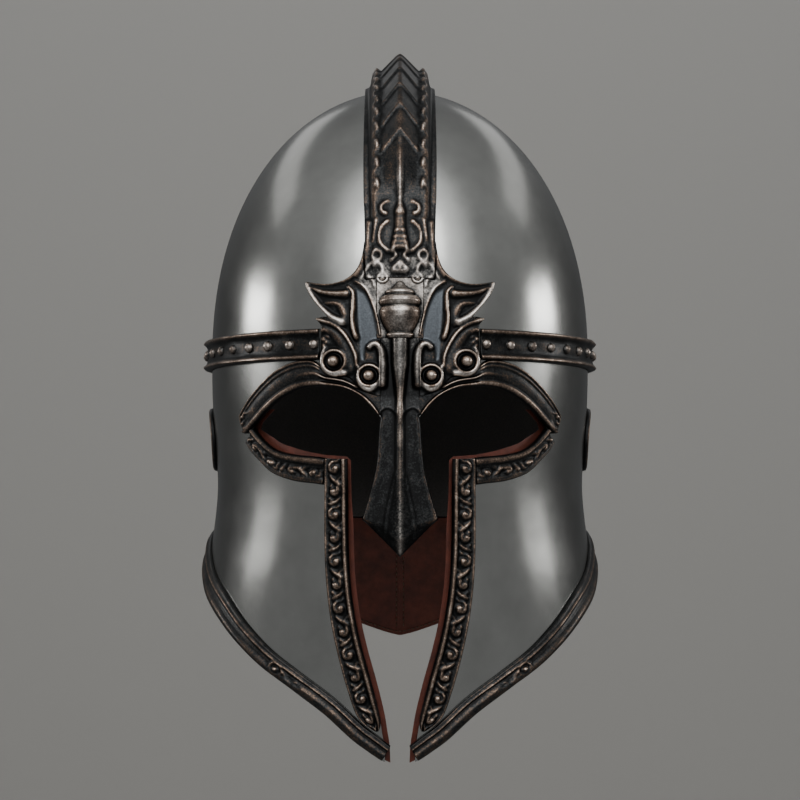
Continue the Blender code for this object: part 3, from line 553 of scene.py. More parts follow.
def in_scene(name, data):
    """A new object in the scene."""
    item = bpy.data.objects.new(name, data)
    bpy.context.scene.collection.objects.link(item)
    return item


def outward(mesh):
    """Turn a closed mesh's faces outwards if they face in."""
    mesh.calc_loop_triangles()
    points = np.empty(len(mesh.vertices) * 3, np.float32)
    mesh.vertices.foreach_get("co", points)
    points = points.reshape(-1, 3).astype(float)
    corners = np.empty(len(mesh.loop_triangles) * 3, np.int32)
    mesh.loop_triangles.foreach_get("vertices", corners)
    a, b, c = (points[corners.reshape(-1, 3)[:, k]] for k in range(3))
    if np.einsum("ij,ij->i", a, np.cross(b, c)).sum() < 0:
        mesh.flip_normals()
    return mesh


def place(name, mesh, material, slot, *nodes):
    """Put a piece in the scene, in place of its nodes of the frame where it has any."""
    piece = in_scene(name, outward(mesh))
    mesh.materials.append(finish(material))
    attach(piece, "root")
    if nodes:
        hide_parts(*nodes)
    return piece


def mirrored(mesh):
    """The other hand's copy of a mesh."""
    copy = mesh.copy()
    count = len(copy.vertices)
    points = np.empty(count * 3, np.float32)
    copy.vertices.foreach_get("co", points)
    points[0::3] *= -1
    copy.vertices.foreach_set("co", points)
    copy.flip_normals()
    copy.update()
    return copy


def both_hands(name, mesh, material, slot):
    """Put a left piece and its mirrored right one in the scene."""
    other = mirrored(mesh)
    place(name + "_left", mesh, material, slot, name + "_left")
    place(name + "_right", other, material, slot, name + "_right")


def swept(name, rings, marks=None, joined=False):
    """A closed mesh through rings of points, an array of rings by points. An axis before these
    gives more such bodies in the same mesh, and joined closes the last ring on the first."""
    index = np.arange(rings[..., 0].size).reshape(rings.shape[:-1])
    size = rings.shape[-2]
    if joined:
        index = np.concatenate([index, index[..., :1, :]], axis=-2)
    after = np.roll(index, -1, axis=-1)
    corners = [index[..., :-1, :], index[..., 1:, :], after[..., 1:, :], after[..., :-1, :]]
    groups = [np.stack(corners, -1).reshape(-1, 4)]
    if not joined:
        groups += [index[..., 0, :].reshape(-1, size), index[..., -1, ::-1].reshape(-1, size)]
    return mesh_of(name, rings.reshape(-1, 3), groups, marks)


def shell(name, outer, inner, joined=False):
    """A closed wall between an outer and an inner skin of points."""
    return swept(name, np.concatenate([outer, inner[:, ::-1]], axis=1), joined=joined)


# Gap under a casting, how far a trim reaches past the edge of the steel, and in mm how far round a
# place its wear is judged, and the height of the ground that the brow ornament stands on
SEAT = 0.0001
OVERHANG = 0.0003
WEAR_REACH = 1.3
GROUND = 2.3


def trim(name, route, relief, rounded=0.0, across=30, depth=1.5, fine=0.45):
    """A cast trim on the steel. route gives, for shares of its run, the turn, level and distances
    of its two edges; relief gives heights in mm from the places along and across it. Its far end
    is rounded over that many mm, and fine is the size of its mesh."""
    rough = np.linspace(0, 1, 400)
    turn, z = route(rough)[:2]
    length = np.linalg.norm(np.diff(surface(turn, z), axis=0), axis=1)
    total = length.sum() / MM
    marks_along = np.concatenate([[0], np.cumsum(length)]) / MM
    count = int(total / fine) + 1
    t = np.interp(np.linspace(0, total, count), marks_along, rough)
    turn, z, near, far = route(t)
    before, after = route(np.clip(t - STEP, 0, 1)), route(np.clip(t + STEP, 0, 1))
    around, upward = tangents(turn, z)
    round_size = np.linalg.norm(around, axis=-1)
    up_size = np.linalg.norm(upward, axis=-1)
    run = unit(np.stack([(after[0] - before[0]) * round_size, (after[1] - before[1]) * up_size], -1))
    share = np.linspace(0, 1, across)[None, :]
    u = np.linspace(0, total, count)[:, None] + 0 * share
    width = np.abs(far - near)[:, None] / MM
    v = share * width
    pinch = np.ones((count, 1))
    if rounded:
        pinch = rounded_edge(np.maximum(total - u[:, :1], 0.02 * rounded), rounded)
    middle = (near + far)[:, None] / 2
    side = middle + (near[:, None] + (far - near)[:, None] * share - middle) * pinch
    cast = smear(relief(u, v, width, total), 1)
    edge = rounded_edge(np.minimum(share, 1 - share) * width, 0.5)
    height = cast * np.sqrt(pinch) * (0.45 + 0.55 * edge)
    place_turn = turn[:, None] - run[:, 1:] * side / round_size[:, None]
    place_z = z[:, None] + run[:, :1] * side / up_size[:, None]
    top = lifted(place_turn, place_z, SEAT + height * MM)
    ends = [0, -1, across // 2]
    base = lifted(place_turn[:, ends], place_z[:, ends], np.full((count, 3), SEAT))
    rings = np.concatenate([base[:, :1], top, base[:, 1:2], base[:, 2:]], axis=1)
    wear = rubbed(cast, max(1, round(WEAR_REACH / fine)), depth)
    return swept(name, rings, {"rub": np.concatenate([wear[:, :1] * 0, wear, wear[:, :2] * 0], axis=1)})


def nearest_on(points, ring_points):
    """Distance to an outline, the nearest place on it, and whether each point is inside."""
    best = np.full(len(points), 1e9)
    place_on = np.zeros_like(points)
    inside = np.zeros(len(points), bool)
    following = np.roll(ring_points, -1, axis=0)
    for a, b in zip(ring_points, following):
        way = b - a
        length = max(float(way @ way), 1e-12)
        t = np.clip((points - a) @ way / length, 0, 1)
        foot = a + t[:, None] * way
        apart = np.hypot(*(points - foot).T)
        closer = apart < best
        best[closer] = apart[closer]
        place_on[closer] = foot[closer]
        if a[1] != b[1]:
            crosses = (a[1] > points[:, 1]) != (b[1] > points[:, 1])
            at = a[0] + (points[:, 1] - a[1]) * way[0] / way[1]
            inside ^= crosses & (points[:, 0] < at)
    return best, place_on, inside


def casting(name, outline_points, relief, marks, fine=0.42, depth=1.7, soften=1, rounding=None):
    """A cast plate on the front of the steel, cut to an outline. relief gives heights in mm from
    the place and its distance from the edge, and rounding the share of them kept near the edge.
    marks are more values for its material, besides its wear."""
    ring_points = np.asarray(outline_points, float)
    low, high = ring_points.min(axis=0) - fine, ring_points.max(axis=0) + fine
    xs = np.arange(low[0], high[0] + fine, fine)
    zs = np.arange(low[1], high[1] + fine, fine)
    x, z = np.meshgrid(xs, zs, indexing="ij")
    flat = np.stack([x.ravel(), z.ravel()], -1)
    apart, foot, inside = nearest_on(flat, ring_points)
    signed = np.where(inside, apart, -apart)
    usable = (signed > -0.55 * fine).reshape(x.shape)
    cells = usable[:-1, :-1] & usable[1:, :-1] & usable[:-1, 1:] & usable[1:, 1:]
    around_point = np.zeros((x.shape[0] + 1, x.shape[1] + 1), int)
    around_point[1:-1, 1:-1] = cells
    touching = around_point[:-1] + around_point[1:]
    touching = touching[:, :-1] + touching[:, 1:]
    border = ((touching > 0) & (touching < 4)).ravel()
    flat[border] = foot[border]
    signed = np.where(border, 0, np.maximum(signed, 0)).reshape(x.shape)
    x, z = flat[:, 0].reshape(x.shape), flat[:, 1].reshape(x.shape)
    cast = relief(x, z, signed)
    cast = smear(cast, soften) if soften else cast
    height = cast * rounding(x, z, signed) if rounding else cast
    turn = turn_of(x * MM, z * MM)
    top = lifted(turn, z * MM, SEAT + height * MM).reshape(-1, 3)
    under = lifted(turn, z * MM, np.full(x.shape, SEAT)).reshape(-1, 3)
    index = np.arange(x.size).reshape(x.shape)
    quads = np.stack([index[:-1, :-1], index[1:, :-1], index[1:, 1:], index[:-1, 1:]], -1)[cells]
    lower = quads[:, ::-1] + x.size
    edges = np.concatenate([quads[:, [k, (k + 1) % 4]] for k in range(4)])
    known = {tuple(edge) for edge in edges.tolist()}
    open_edges = [edge for edge in known if (edge[1], edge[0]) not in known]
    walls = np.array([(b, a, a + x.size, b + x.size) for a, b in open_edges])
    faces = np.concatenate([quads, lower, walls])
    used, compact = np.unique(faces, return_inverse=True)
    fields = {"rub": rubbed(cast, max(1, round(WEAR_REACH / fine)), depth)}
    for key, field in marks.items():
        fields[key] = field(x, z)
    doubled = {}
    for key, field in fields.items():
        doubled[key] = np.concatenate([field.ravel(), 0 * field.ravel()])[used]
    points = np.concatenate([top, under])[used]
    return mesh_of(name, points, [compact.reshape(faces.shape)], doubled)


def outline_of(runs, count=8):
    """Points of an outline made of smooth runs that meet at corners."""
    return np.concatenate([along(run, count)[:-1] for run in runs])


# Materials

def join(tree, node, links):
    """Link sockets to the inputs of a node."""
    for key, socket in links.items():
        tree.links.new(socket, node.inputs[key])


def add(tree, kind, values=None, links=None, stops=(), out=0, **settings):
    """Add a node with its settings, the values and links of its inputs, and any colour stops.
    Gives one of its outputs."""
    node = tree.nodes.new(kind)
    for key, value in settings.items():
        setattr(node, key, value)
    for key, value in (values or {}).items():
        node.inputs[key].default_value = value
    join(tree, node, links or {})
    for k, (at, colour) in enumerate(stops):
        elements = node.color_ramp.elements
        element = elements[k] if k < 2 else elements.new(at)
        element.position = at
        element.color = (*colour, 1)
    return node.outputs[out]


def shade(colour, factor):
    """A colour made darker or lighter."""
    return tuple(channel * factor for channel in colour)


def per(pitch):
    """Scale of a pattern whose marks are pitch millimetres apart."""
    return 1 / (pitch * MM)


def blank(name):
    """A material with only its shader, and the places of its pattern."""
    material = bpy.data.materials.new(name)
    material.use_nodes = True
    tree = material.node_tree
    return material, tree, tree.nodes["Principled BSDF"], add(tree, "ShaderNodeTexCoord", out="Object")


def satin_steel(name, colour):
    """Carbon steel plate, raised, planished and satin polished: a neutral grey whose reflections are
    soft but clear, faintly rippled by the hammer and clouded where the polish is uneven. The
    polisher's scratches are far finer than the 1.6 mm that they are drawn at, to show at all."""
    material, tree, shader, at = blank(name)
    clouds = add(tree, "ShaderNodeTexNoise", {"Scale": per(30), "Detail": 5.0, "Roughness": 0.6},
                 {"Vector": at})
    tint = add(tree, "ShaderNodeValToRGB", links={"Fac": clouds},
               stops=[(0.30, shade(colour, 0.815)), (0.70, colour)])
    polish = add(tree, "ShaderNodeMapRange",
                 {"From Min": 0.3, "From Max": 0.7, "To Min": 0.185, "To Max": 0.235}, {"Value": clouds})
    dents = add(tree, "ShaderNodeTexNoise", {"Scale": per(16), "Detail": 1.5}, {"Vector": at})
    planished = add(tree, "ShaderNodeBump", {"Strength": 0.03, "Distance": 0.002}, {"Height": dents})
    scuffs = add(tree, "ShaderNodeTexNoise", {"Scale": per(1.6), "Detail": 4.0}, {"Vector": at})
    scuffed = add(tree, "ShaderNodeBump", {"Strength": 0.03, "Distance": 0.0001},
                  {"Height": scuffs, "Normal": planished})
    shader.inputs["Metallic"].default_value = 1.0
    join(tree, shader, {"Base Color": tint, "Roughness": polish, "Normal": scuffed})
    return material


def antiqued_pewter(name, colours, rubbing):
    """Sand-cast white metal, blackened, then waxed brown and rubbed back: near black in the
    hollows, brown on the shoulders and bright silver where hands and cloth have touched it.
    Down the middle of the finial the same silver is a painted highlight.
    Casting sand is about 0.3 mm, and its grain is drawn at 0.9 mm so that it shows."""
    material, tree, shader, at = blank(name)
    rub, shine, blue = (add(tree, "ShaderNodeAttribute", out="Fac", attribute_name=key)
                        for key in ("rub", "shine", "blue"))
    patches = add(tree, "ShaderNodeTexNoise", {"Scale": per(7), "Detail": 6.0, "Roughness": 0.65},
                  {"Vector": at})
    grain = add(tree, "ShaderNodeTexNoise", {"Scale": per(0.9), "Detail": 3.0, "Roughness": 0.6},
                {"Vector": at})
    spread = add(tree, "ShaderNodeMapRange",
                 {"From Min": 0.3, "From Max": 0.7, "To Min": rubbing - 0.18, "To Max": rubbing + 0.12},
                 {"Value": patches})
    fine = add(tree, "ShaderNodeMapRange",
               {"From Min": 0.3, "From Max": 0.7, "To Min": -0.17, "To Max": 0.17}, {"Value": grain})
    streaky = add(tree, "ShaderNodeMapRange",
                  {"From Min": 0.32, "From Max": 0.62, "To Min": 0.35, "To Max": 1.0},
                  {"Value": patches})
    uneven = add(tree, "ShaderNodeMath", links={0: spread, 1: fine}, operation="ADD")
    # shine marks rubbed silver, and down the middle of the finial a painted highlight
    silver_and_painted_highlight = add(tree, "ShaderNodeMath", links={0: shine, 1: streaky}, operation="MULTIPLY")
    lift = add(tree, "ShaderNodeMath", {1: 0.14}, {0: silver_and_painted_highlight}, operation="MULTIPLY")
    worn = add(tree, "ShaderNodeMath", links={0: rub, 1: uneven}, operation="ADD")
    worn = add(tree, "ShaderNodeMath", links={0: worn, 1: lift}, operation="ADD", use_clamp=True)
    brown = add(tree, "ShaderNodeValToRGB", links={"Fac": worn},
                stops=[(0.20, colours.hollow), (1.0, colours.rubbed), (0.40, colours.field),
                       (0.56, shade(colours.shoulder, 0.35)), (0.76, colours.shoulder)])
    silver = add(tree, "ShaderNodeValToRGB", links={"Fac": worn},
                 stops=[(0.20, colours.hollow), (1.0, colours.silver),
                        (0.42, shade(colours.silver, 0.18)), (0.66, shade(colours.silver, 0.45))])
    slate = add(tree, "ShaderNodeValToRGB", links={"Fac": grain},
                stops=[(0.3, shade(colours.panel, 0.75)), (0.75, shade(colours.panel, 1.25))])
    warm = add(tree, "ShaderNodeMix", links={0: silver_and_painted_highlight, 6: brown, 7: silver}, out=2, data_type="RGBA")
    tint = add(tree, "ShaderNodeMix", links={0: blue, 6: warm, 7: slate}, out=2, data_type="RGBA")
    polish = add(tree, "ShaderNodeMapRange",
                 {"From Min": 0.3, "From Max": 0.9, "To Min": 0.42, "To Max": 0.30}, {"Value": worn})
    pits = add(tree, "ShaderNodeBump", {"Strength": 0.35, "Distance": 0.0003}, {"Height": patches})
    sand = add(tree, "ShaderNodeBump", {"Strength": 0.4, "Distance": 0.0001},
               {"Height": grain, "Normal": pits})
    shader.inputs["Metallic"].default_value = 0.92
    join(tree, shader, {"Base Color": tint, "Roughness": polish, "Normal": sand})
    return material


def grained_leather(name, colour):
    """Vegetable-tanned cowhide, dyed and waxed: a matt, slightly mottled skin with a pebbled
    grain of under a millimetre."""
    material, tree, shader, at = blank(name)
    mottle = add(tree, "ShaderNodeTexNoise", {"Scale": per(9), "Detail": 6.0, "Roughness": 0.6},
                 {"Vector": at})
    tint = add(tree, "ShaderNodeValToRGB", links={"Fac": mottle},
               stops=[(0.32, shade(colour, 0.4)), (0.70, colour)])
    pebbles = add(tree, "ShaderNodeTexVoronoi", {"Scale": per(0.9), "Randomness": 1.0}, {"Vector": at},
                  feature="DISTANCE_TO_EDGE")
    creases = add(tree, "ShaderNodeTexNoise", {"Scale": per(2.2), "Detail": 5.0, "Roughness": 0.7},
                  {"Vector": at})
    grain = add(tree, "ShaderNodeBump", {"Strength": 0.35, "Distance": 0.0002}, {"Height": pebbles})
    folds = add(tree, "ShaderNodeBump", {"Strength": 0.35, "Distance": 0.0003},
                {"Height": creases, "Normal": grain})
    wax = add(tree, "ShaderNodeMapRange",
              {"From Min": 0.3, "From Max": 0.7, "To Min": 0.50, "To Max": 0.68}, {"Value": creases})
    join(tree, shader, {"Base Color": tint, "Roughness": wax, "Normal": folds})
    return material


def black_felt(name, colour):
    """Wool felt, milled and dyed black: no gloss, in soft tufts. So little light reaches the hollow
    that its colour is set far paler than the dye, and its fibres are drawn as tufts of 1.1 mm."""
    material, tree, shader, at = blank(name)
    fibres = add(tree, "ShaderNodeTexNoise", {"Scale": per(1.1), "Detail": 8.0, "Roughness": 0.8},
                 {"Vector": at})
    tint = add(tree, "ShaderNodeValToRGB", links={"Fac": fibres},
               stops=[(0.35, shade(colour, 0.65)), (0.70, colour)])
    nap = add(tree, "ShaderNodeBump", {"Strength": 0.5, "Distance": 0.0004}, {"Height": fibres})
    shader.inputs["Roughness"].default_value = 0.95
    shader.inputs["Specular IOR Level"].default_value = 0.2
    join(tree, shader, {"Base Color": tint, "Normal": nap})
    return material


def waxed_thread(name, colour):
    """Linen thread, waxed: a pale matt brown, with a twist that shades it every half millimetre."""
    material, tree, shader, at = blank(name)
    twist = add(tree, "ShaderNodeTexNoise", {"Scale": per(0.5), "Detail": 2.0}, {"Vector": at})
    tint = add(tree, "ShaderNodeValToRGB", links={"Fac": twist},
               stops=[(0.3, shade(colour, 0.5)), (0.7, colour)])
    shader.inputs["Roughness"].default_value = 0.7
    join(tree, shader, {"Base Color": tint})
    return material


def matt_paint(name, colour):
    """Matt emulsion on a studio sweep: even, with no gloss."""
    material, _, shader, _ = blank(name)
    shader.inputs["Base Color"].default_value = (*colour, 1)
    shader.inputs["Roughness"].default_value = 0.9
    return material


def finish(name):
    """The material of that name, made when it is first asked for."""
    colours = bpy.context.scene.helmet_colours
    makers = {
        "satin_polished_steel": lambda: satin_steel(name, colours.steel),
        "antiqued_cast_pewter": lambda: antiqued_pewter(name, colours, 0.0),
        "rubbed_cast_pewter": lambda: antiqued_pewter(name, colours, 0.16),
        "blackened_cast_pewter": lambda: antiqued_pewter(name, colours, -0.16),
        "red_waxed_cowhide": lambda: grained_leather(name, colours.cheek_leather),
        # the neck leather's colour is set paler than the leather, as painted light for the shade behind
        # the neck
        "dark_waxed_cowhide": lambda: grained_leather(name, colours.neck_leather),
        "black_wool_felt": lambda: black_felt(name, colours.felt),
        "waxed_linen_thread": lambda: waxed_thread(name, colours.thread),
    }
    return bpy.data.materials.get(name) or makers[name]()


# Pieces of steel

# Half the gap where two plates meet
JOINT = 0.0001


def make_skull(sizes):
    """The two crown plates, meeting under the comb."""
    turns = np.linspace(0, HALF_TURN, 97)[:, None]
    rises = np.linspace(0, 1, 57)[None, :] ** 0.9 * QUARTER_TURN

    def half(out):
        z = (BOWL_HEIGHT + out) * np.sin(rises) ** (2 / BOWL_POWER) + 0 * turns
        share = np.cos(rises)
        points = plan_point(share * np.sin(turns), share * np.cos(turns), z, out)
        points[..., 0] += JOINT
        points[..., 2] = np.maximum(points[..., 2], JOINT)
        return points[::-1]

    mesh = shell("skull_plate", half(0.0), half(-sizes.plate))
    mesh.set_sharp_from_angle(angle=math.radians(50))
    both_hands("skull_plate", mesh, "satin_polished_steel", "steel")


def wall(name, turns, top, low, outer, inner, rows, joined):
    """A wall between two offsets of the steel."""
    z = top + (low[:, None] - top) * np.linspace(0, 1, rows)
    turn = turns[:, None] + 0 * z
    return shell(name, surface(turn, z, outer), surface(turn, z, inner), joined)


def opening_outline(inset, blunt, tab, first_row):
    """Outline of the face opening from the front, moved inwards by inset(points). blunt leaves that
    much of a row off on each side of the corner of the eye, and tab is its edge at the nose."""
    half = [np.array(tab)]
    runs = [
        (BROW_EDGE, first_row, EYE_CORNER_ROW - blunt, 40),
        (LID_EDGE, blunt, len(LID_EDGE) - 1.0, 40),
        (CHEEK_EDGE, 0.0, len(CHEEK_EDGE) - 1.0, 50),
    ]
    for rows, start, end, count in runs:
        half.append(rows_at(rows, np.linspace(start, end, count))[:, :2])
    half = np.concatenate(half) * (HALF_WIDTH, -CHEEK_DROP)
    points = np.concatenate([half, (half * (-1, 1))[::-1]])
    run = unit(np.roll(points, -1, axis=0) - np.roll(points, 1, axis=0))
    return points + np.stack([run[:, 1], -run[:, 0]], -1) * inset(points)[:, None]


def cut_opening(mesh, points):
    """A copy of the mesh with the face opening cut through it, from the front."""
    rings = np.stack([
        np.stack([points[:, 0], np.full(len(points), y), points[:, 1]], -1)
        for y in (-2 * FRONT_REACH, -FRONT_REACH / 8)
    ])
    body = in_scene("body", outward(mesh))
    cutter = in_scene("cutter", outward(swept("opening", rings)))
    modifier = body.modifiers.new("cut", "BOOLEAN")
    modifier.operation = "DIFFERENCE"
    modifier.solver = "EXACT"
    modifier.object = cutter
    bpy.context.view_layer.update()
    shown = body.evaluated_get(bpy.context.evaluated_depsgraph_get())
    cut = bpy.data.meshes.new_from_object(shown)
    bpy.data.objects.remove(cutter)
    bpy.data.objects.remove(body)
    if not cut.vertices:
        raise RuntimeError(f"nothing is left of {mesh.name} after its opening is cut")
    cut.shade_smooth()
    cut.set_sharp_from_angle(angle=math.radians(40))
    return cut


def make_guard(sizes):
    """The wraparound face guard, cheeks and nape."""
    turns = circle(240)
    mesh = wall("face_guard", turns, -JOINT, bottom(turns), 0.0, -sizes.plate, 60, True)
    mesh = cut_opening(mesh, opening_outline(lambda points: np.zeros(len(points)), 0.0, NASAL_TAB, 0.0))
    place("face_guard", mesh, "satin_polished_steel", "steel", "face_guard")


# Castings

# Mouldings across a trim, in mm of its nominal width: middle, half width and rise
Bead = namedtuple("Bead", "at half rise")
BAND_BEADS = [Bead(1.4, 1.45, 2.2), Bead(3.4, 0.5, 0.5)]
EYEBROW_LIP = Bead(1.9, 2.1, 3.0)
EYEBROW_BEADS = [Bead(4.2, 0.5, 2.6), Bead(10.7, 0.8, 3.0), Bead(12.7, 0.9, 3.2)]
EYE_RIM_BEADS = [Bead(2.2, 2.4, 3.1), Bead(5.0, 0.6, 2.4), Bead(11.2, 0.8, 2.9), Bead(12.7, 0.8, 2.9)]
MOUTH_RIM_BEADS = [Bead(1.6, 1.7, 3.4), Bead(10.4, 0.5, 2.0), Bead(11.6, 0.8, 3.1)]
LOWER_RIM_BEADS = [Bead(3.0, 3.2, 3.2), Bead(6.8, 0.45, 2.2)]
LOWER_RIM_LIPS = [Bead(10.3, 1.1, 3.4), Bead(12.5, 0.6, 2.6)]
LOWER_RIM_TIP_BEADS = [Bead(4.4, 4.8, 3.9), Bead(6.2, 0.5, 4.2)]
BOSS_BEADS = [Bead(0.0, 4.4, 1.6), Bead(13.9, 0.5, 0.7), Bead(16.2, 1.3, 1.5)]
EYEBROW_WIDTH = 13.6
EYE_RIM_WIDTH = 13.5
MOUTH_RIM_WIDTH = 12.4
LOWER_RIM_WIDTH = 13.5

# Ground between the mouldings of each trim, in mm
BAND_GROUND = 2.4
EYEBROW_GROUND = 1.4
VINE_GROUND = 1.3
LOWER_RIM_GROUND = 1.4

# The band and its studs: how high its middle lies, where it starts at the side of the scroll, and
# where the studs stand
BAND_LEVEL = 0.0023
BAND_END = math.radians(22.5)
FIRST_STUD = math.radians(24.0)
STUD_PITCH = math.radians(7.7)
STUDS_A_SIDE = 19
STUD_SEAT = 0.0024


def make_band(sizes):
    """The brow band: worn lips above and below a sunk dark field."""

    def route(t):
        turn = BAND_END + (FULL_TURN - 2 * BAND_END) * t
        half = sizes.band_width / 2 + 0 * t
        return turn, BAND_LEVEL + 0 * t, -half, half

    def relief(u, v, width, total):
        dents = 0.25 * np.sin(u * 0.21) * np.sin(v * 0.5 + u * 0.05)
        return BAND_GROUND + dents + mouldings(np.minimum(v, width - v), BAND_BEADS)

    mesh = trim("brow_band", route, relief, across=34)
    place("brow_band", mesh, "antiqued_cast_pewter", "pewter", "brow_band")


def make_studs(sizes):
    """Domed studs along the band, one mesh."""
    angle = circle(20)[:, None]
    rises = np.linspace(0, 1, 8)[:-1] ** 0.9 * QUARTER_TURN
    radius = np.concatenate([[1.0, 1.0], 0.93 * np.cos(rises), [0.09]])[:, None, None]
    lift = np.concatenate([[-0.2, 0.35], 0.45 + 1.9 * np.sin(rises), [2.38]])[:, None, None]
    turns = FIRST_STUD + np.arange(STUDS_A_SIDE) * STUD_PITCH
    turns = np.concatenate([turns, -turns])
    level = np.full(len(turns), BAND_LEVEL)
    around, upward = (unit(way)[:, None, None] for way in tangents(turns, level))
    normal = np.cross(around, upward)
    uneven = np.random.default_rng(4).uniform(0.9, 1.04, len(turns))[:, None, None, None]
    out = uneven * radius * sizes.stud_radius * (around * np.cos(angle) + upward * np.sin(angle))
    rings = surface(turns, level)[:, None, None] + normal * (STUD_SEAT + lift * MM) + out
    flat = np.zeros(rings.shape[:-1])
    marks = {"rub": np.clip(0.18 + 0.45 * lift[:, :, 0] / 2.3, 0, 1) + flat, "shine": flat + 0.4}
    names = [f"brow_stud_{k + 1:02d}" for k in range(len(turns))]
    place("brow_studs", swept("brow_studs", rings, marks), "rubbed_cast_pewter", "rubbed_pewter", *names)


def edge_route(rows, ends, trim_width):
    """Route of a trim along one run of the face opening, on the wearer's left."""

    def route(t):
        row = rows_at(rows, ends[0] + (ends[1] - ends[0]) * np.asarray(t))
        z = -row[..., 1] * CHEEK_DROP
        return turn_of(row[..., 0] * HALF_WIDTH, z), z, 0 * z - OVERHANG, row[..., 2] * trim_width

    return route


# The eyebrow's own edge and widths, the leaf along it and the scroll at its outer end, the last two
# in mm along and across
EYEBROW_EDGE = [
    (0.096, 0.162, 0.24), (0.142, 0.137, 0.56), (0.191, 0.112, 0.36), (0.267, 0.0945, 0.44),
    (0.355, 0.0885, 0.56), (0.405, 0.0885, 0.94), (0.480, 0.0935, 1.05), (0.560, 0.1110, 1.06),
    (0.635, 0.1380, 1.00), (0.700, 0.1700, 0.95), (0.752, 0.1960, 0.80), (0.772, 0.2060, 0.62),
]
LEAF = [(18, 7.8), (28, 7.6), (38, 6.9), (46, 6.2), (54, 5.6)]
EYEBROW_SCROLL = [
    Ridge(curl(5.2, 7.6, 2.9, 0.9, 0.4, 1), 1.2, 0.8, 3.9),
    Ridge([(2.4, 4.6), (5.6, 3.2), (10.8, 4.2)], 1.1, 0.6, 3.6),
    Ridge([(8.6, 10.4), (12.2, 8.2), (16.4, 7.2)], 1.2, 0.5, 3.4),
]


def make_eyebrow(sizes):
    """Moulding over each eye: lip, leaf, broad dark swell and a double bead, with a scrolled end."""

    def relief(u, v, width, total):
        full = swell((width - 8.2) / 3)
        share = v / width * EYEBROW_WIDTH
        lip = bead(share, *EYEBROW_LIP)
        leaf = ridge_field(u, share, LEAF, 1.9, 0.5, 4.3)
        body = EYEBROW_GROUND + bead(share, 6.9, 3.4, 1.1) * full
        fine = np.maximum(mouldings(share, EYEBROW_BEADS), ridges(total - u, share, EYEBROW_SCROLL))
        return np.maximum.reduce([lip, leaf, body, fine * full])

    route = edge_route(EYEBROW_EDGE, (0.1, 11.0), sizes.trim_width)
    mesh = trim("eyebrow", route, relief, rounded=4.6, across=36, depth=1.0)
    both_hands("eyebrow", mesh, "antiqued_cast_pewter", "pewter")


def make_eye_rim(sizes):
    """Trim under each eye: inner moulding, scroll field and a double outer lip."""

    def relief(u, v, width, total):
        share = v / width * EYE_RIM_WIDTH
        sunk = swell((share - 5.4) / 0.5) * swell((10.4 - share) / 0.5)
        field = VINE_GROUND + vine(total - u, share - 8.1, total, 5.6) * sunk
        return np.maximum(mouldings(share, EYE_RIM_BEADS), field)

    rows = [(0.727, 0.1840, 0.72), (0.694, 0.2040, 0.78)] + LID_EDGE[2:]
    mesh = trim("eye_rim", edge_route(rows, (0.25, 6.05), sizes.trim_width), relief, across=34)
    both_hands("eye_rim", mesh, "antiqued_cast_pewter", "pewter")


def make_mouth_rim(sizes):
    """Trim down the inner edge of each cheek plate: bead, vine field and lip."""

    def relief(u, v, width, total):
        share = v / width * MOUTH_RIM_WIDTH
        sunk = swell((share - 3.0) / 0.4) * swell((10.2 - share) / 0.4)
        field = VINE_GROUND + vine(u, share - 6.6, total, 7.0) * sunk
        return np.maximum(mouldings(share, MOUTH_RIM_BEADS), field)

    rows = [(0.254, 0.2645, 0.86)] + CHEEK_EDGE[1:]
    route = edge_route(rows, (0.0, 7.86), sizes.trim_width)
    mesh = trim("mouth_rim", route, relief, rounded=6.0, across=34)
    both_hands("mouth_rim", mesh, "antiqued_cast_pewter", "pewter")


# Ornament near each tip of the lower rim, in mm from the tip and across: a ringed button, and two
# leaves, each a stem and a curl
RIM_BUTTON = Knob(71.0, 6.0, 2.4, 4.6)
RIM_RING = Knob(71.0, 6.0, 3.8, 3.7)
RIM_LEAVES = [
    Ridge([(66.5, 7.4), (62.5, 4.2), (58.0, 6.6)], 1.0, 0.6, 3.4),
    Ridge(curl(57.2, 4.8, 2.2, 0.8, 1.2, -1), 0.9, 0.6, 3.3),
    Ridge([(52.0, 7.4), (48.0, 4.2), (43.5, 6.6)], 1.0, 0.6, 3.4),
    Ridge(curl(42.7, 4.8, 2.2, 0.8, 1.2, -1), 0.9, 0.6, 3.3),
]


def make_lower_rim(sizes):
    """Trim round the lower edge: a broad rounded moulding, a thin ridge and a double lip."""
    start = float(turn_of(np.array(TIP_ACROSS * HALF_WIDTH + OVERHANG), np.array(-CHEEK_DROP)))

    def route(t):
        turn = start + (FULL_TURN - 2 * start) * t
        row, apart = lower_row(turn)
        tipped = 1 + 0.30 * np.exp(-(apart / math.radians(9)) ** 2)
        return turn, -row[..., 0] * CHEEK_DROP, 0 * t, row[..., 1] * sizes.rim_width * tipped

    def relief(u, v, width, total):
        share = v / width * LOWER_RIM_WIDTH
        from_tip = np.minimum(u, total - u)
        plain = 1 - swell((from_tip - 52) / 8)
        button = np.maximum(ball(from_tip, share, RIM_BUTTON), ring(from_tip, share, RIM_RING, 0.9))
        field = LOWER_RIM_GROUND + 0 * u
        banded = np.maximum.reduce([
            mouldings(share, LOWER_RIM_BEADS), field, button, ridges(from_tip, share, RIM_LEAVES),
        ])
        tip = np.maximum(mouldings(share, LOWER_RIM_TIP_BEADS), field)
        return np.maximum(mouldings(share, LOWER_RIM_LIPS), banded * (1 - plain) + tip * plain)

    mesh = trim("lower_rim", route, relief, fine=0.55)
    place("lower_rim", mesh, "antiqued_cast_pewter", "pewter", "lower_rim")


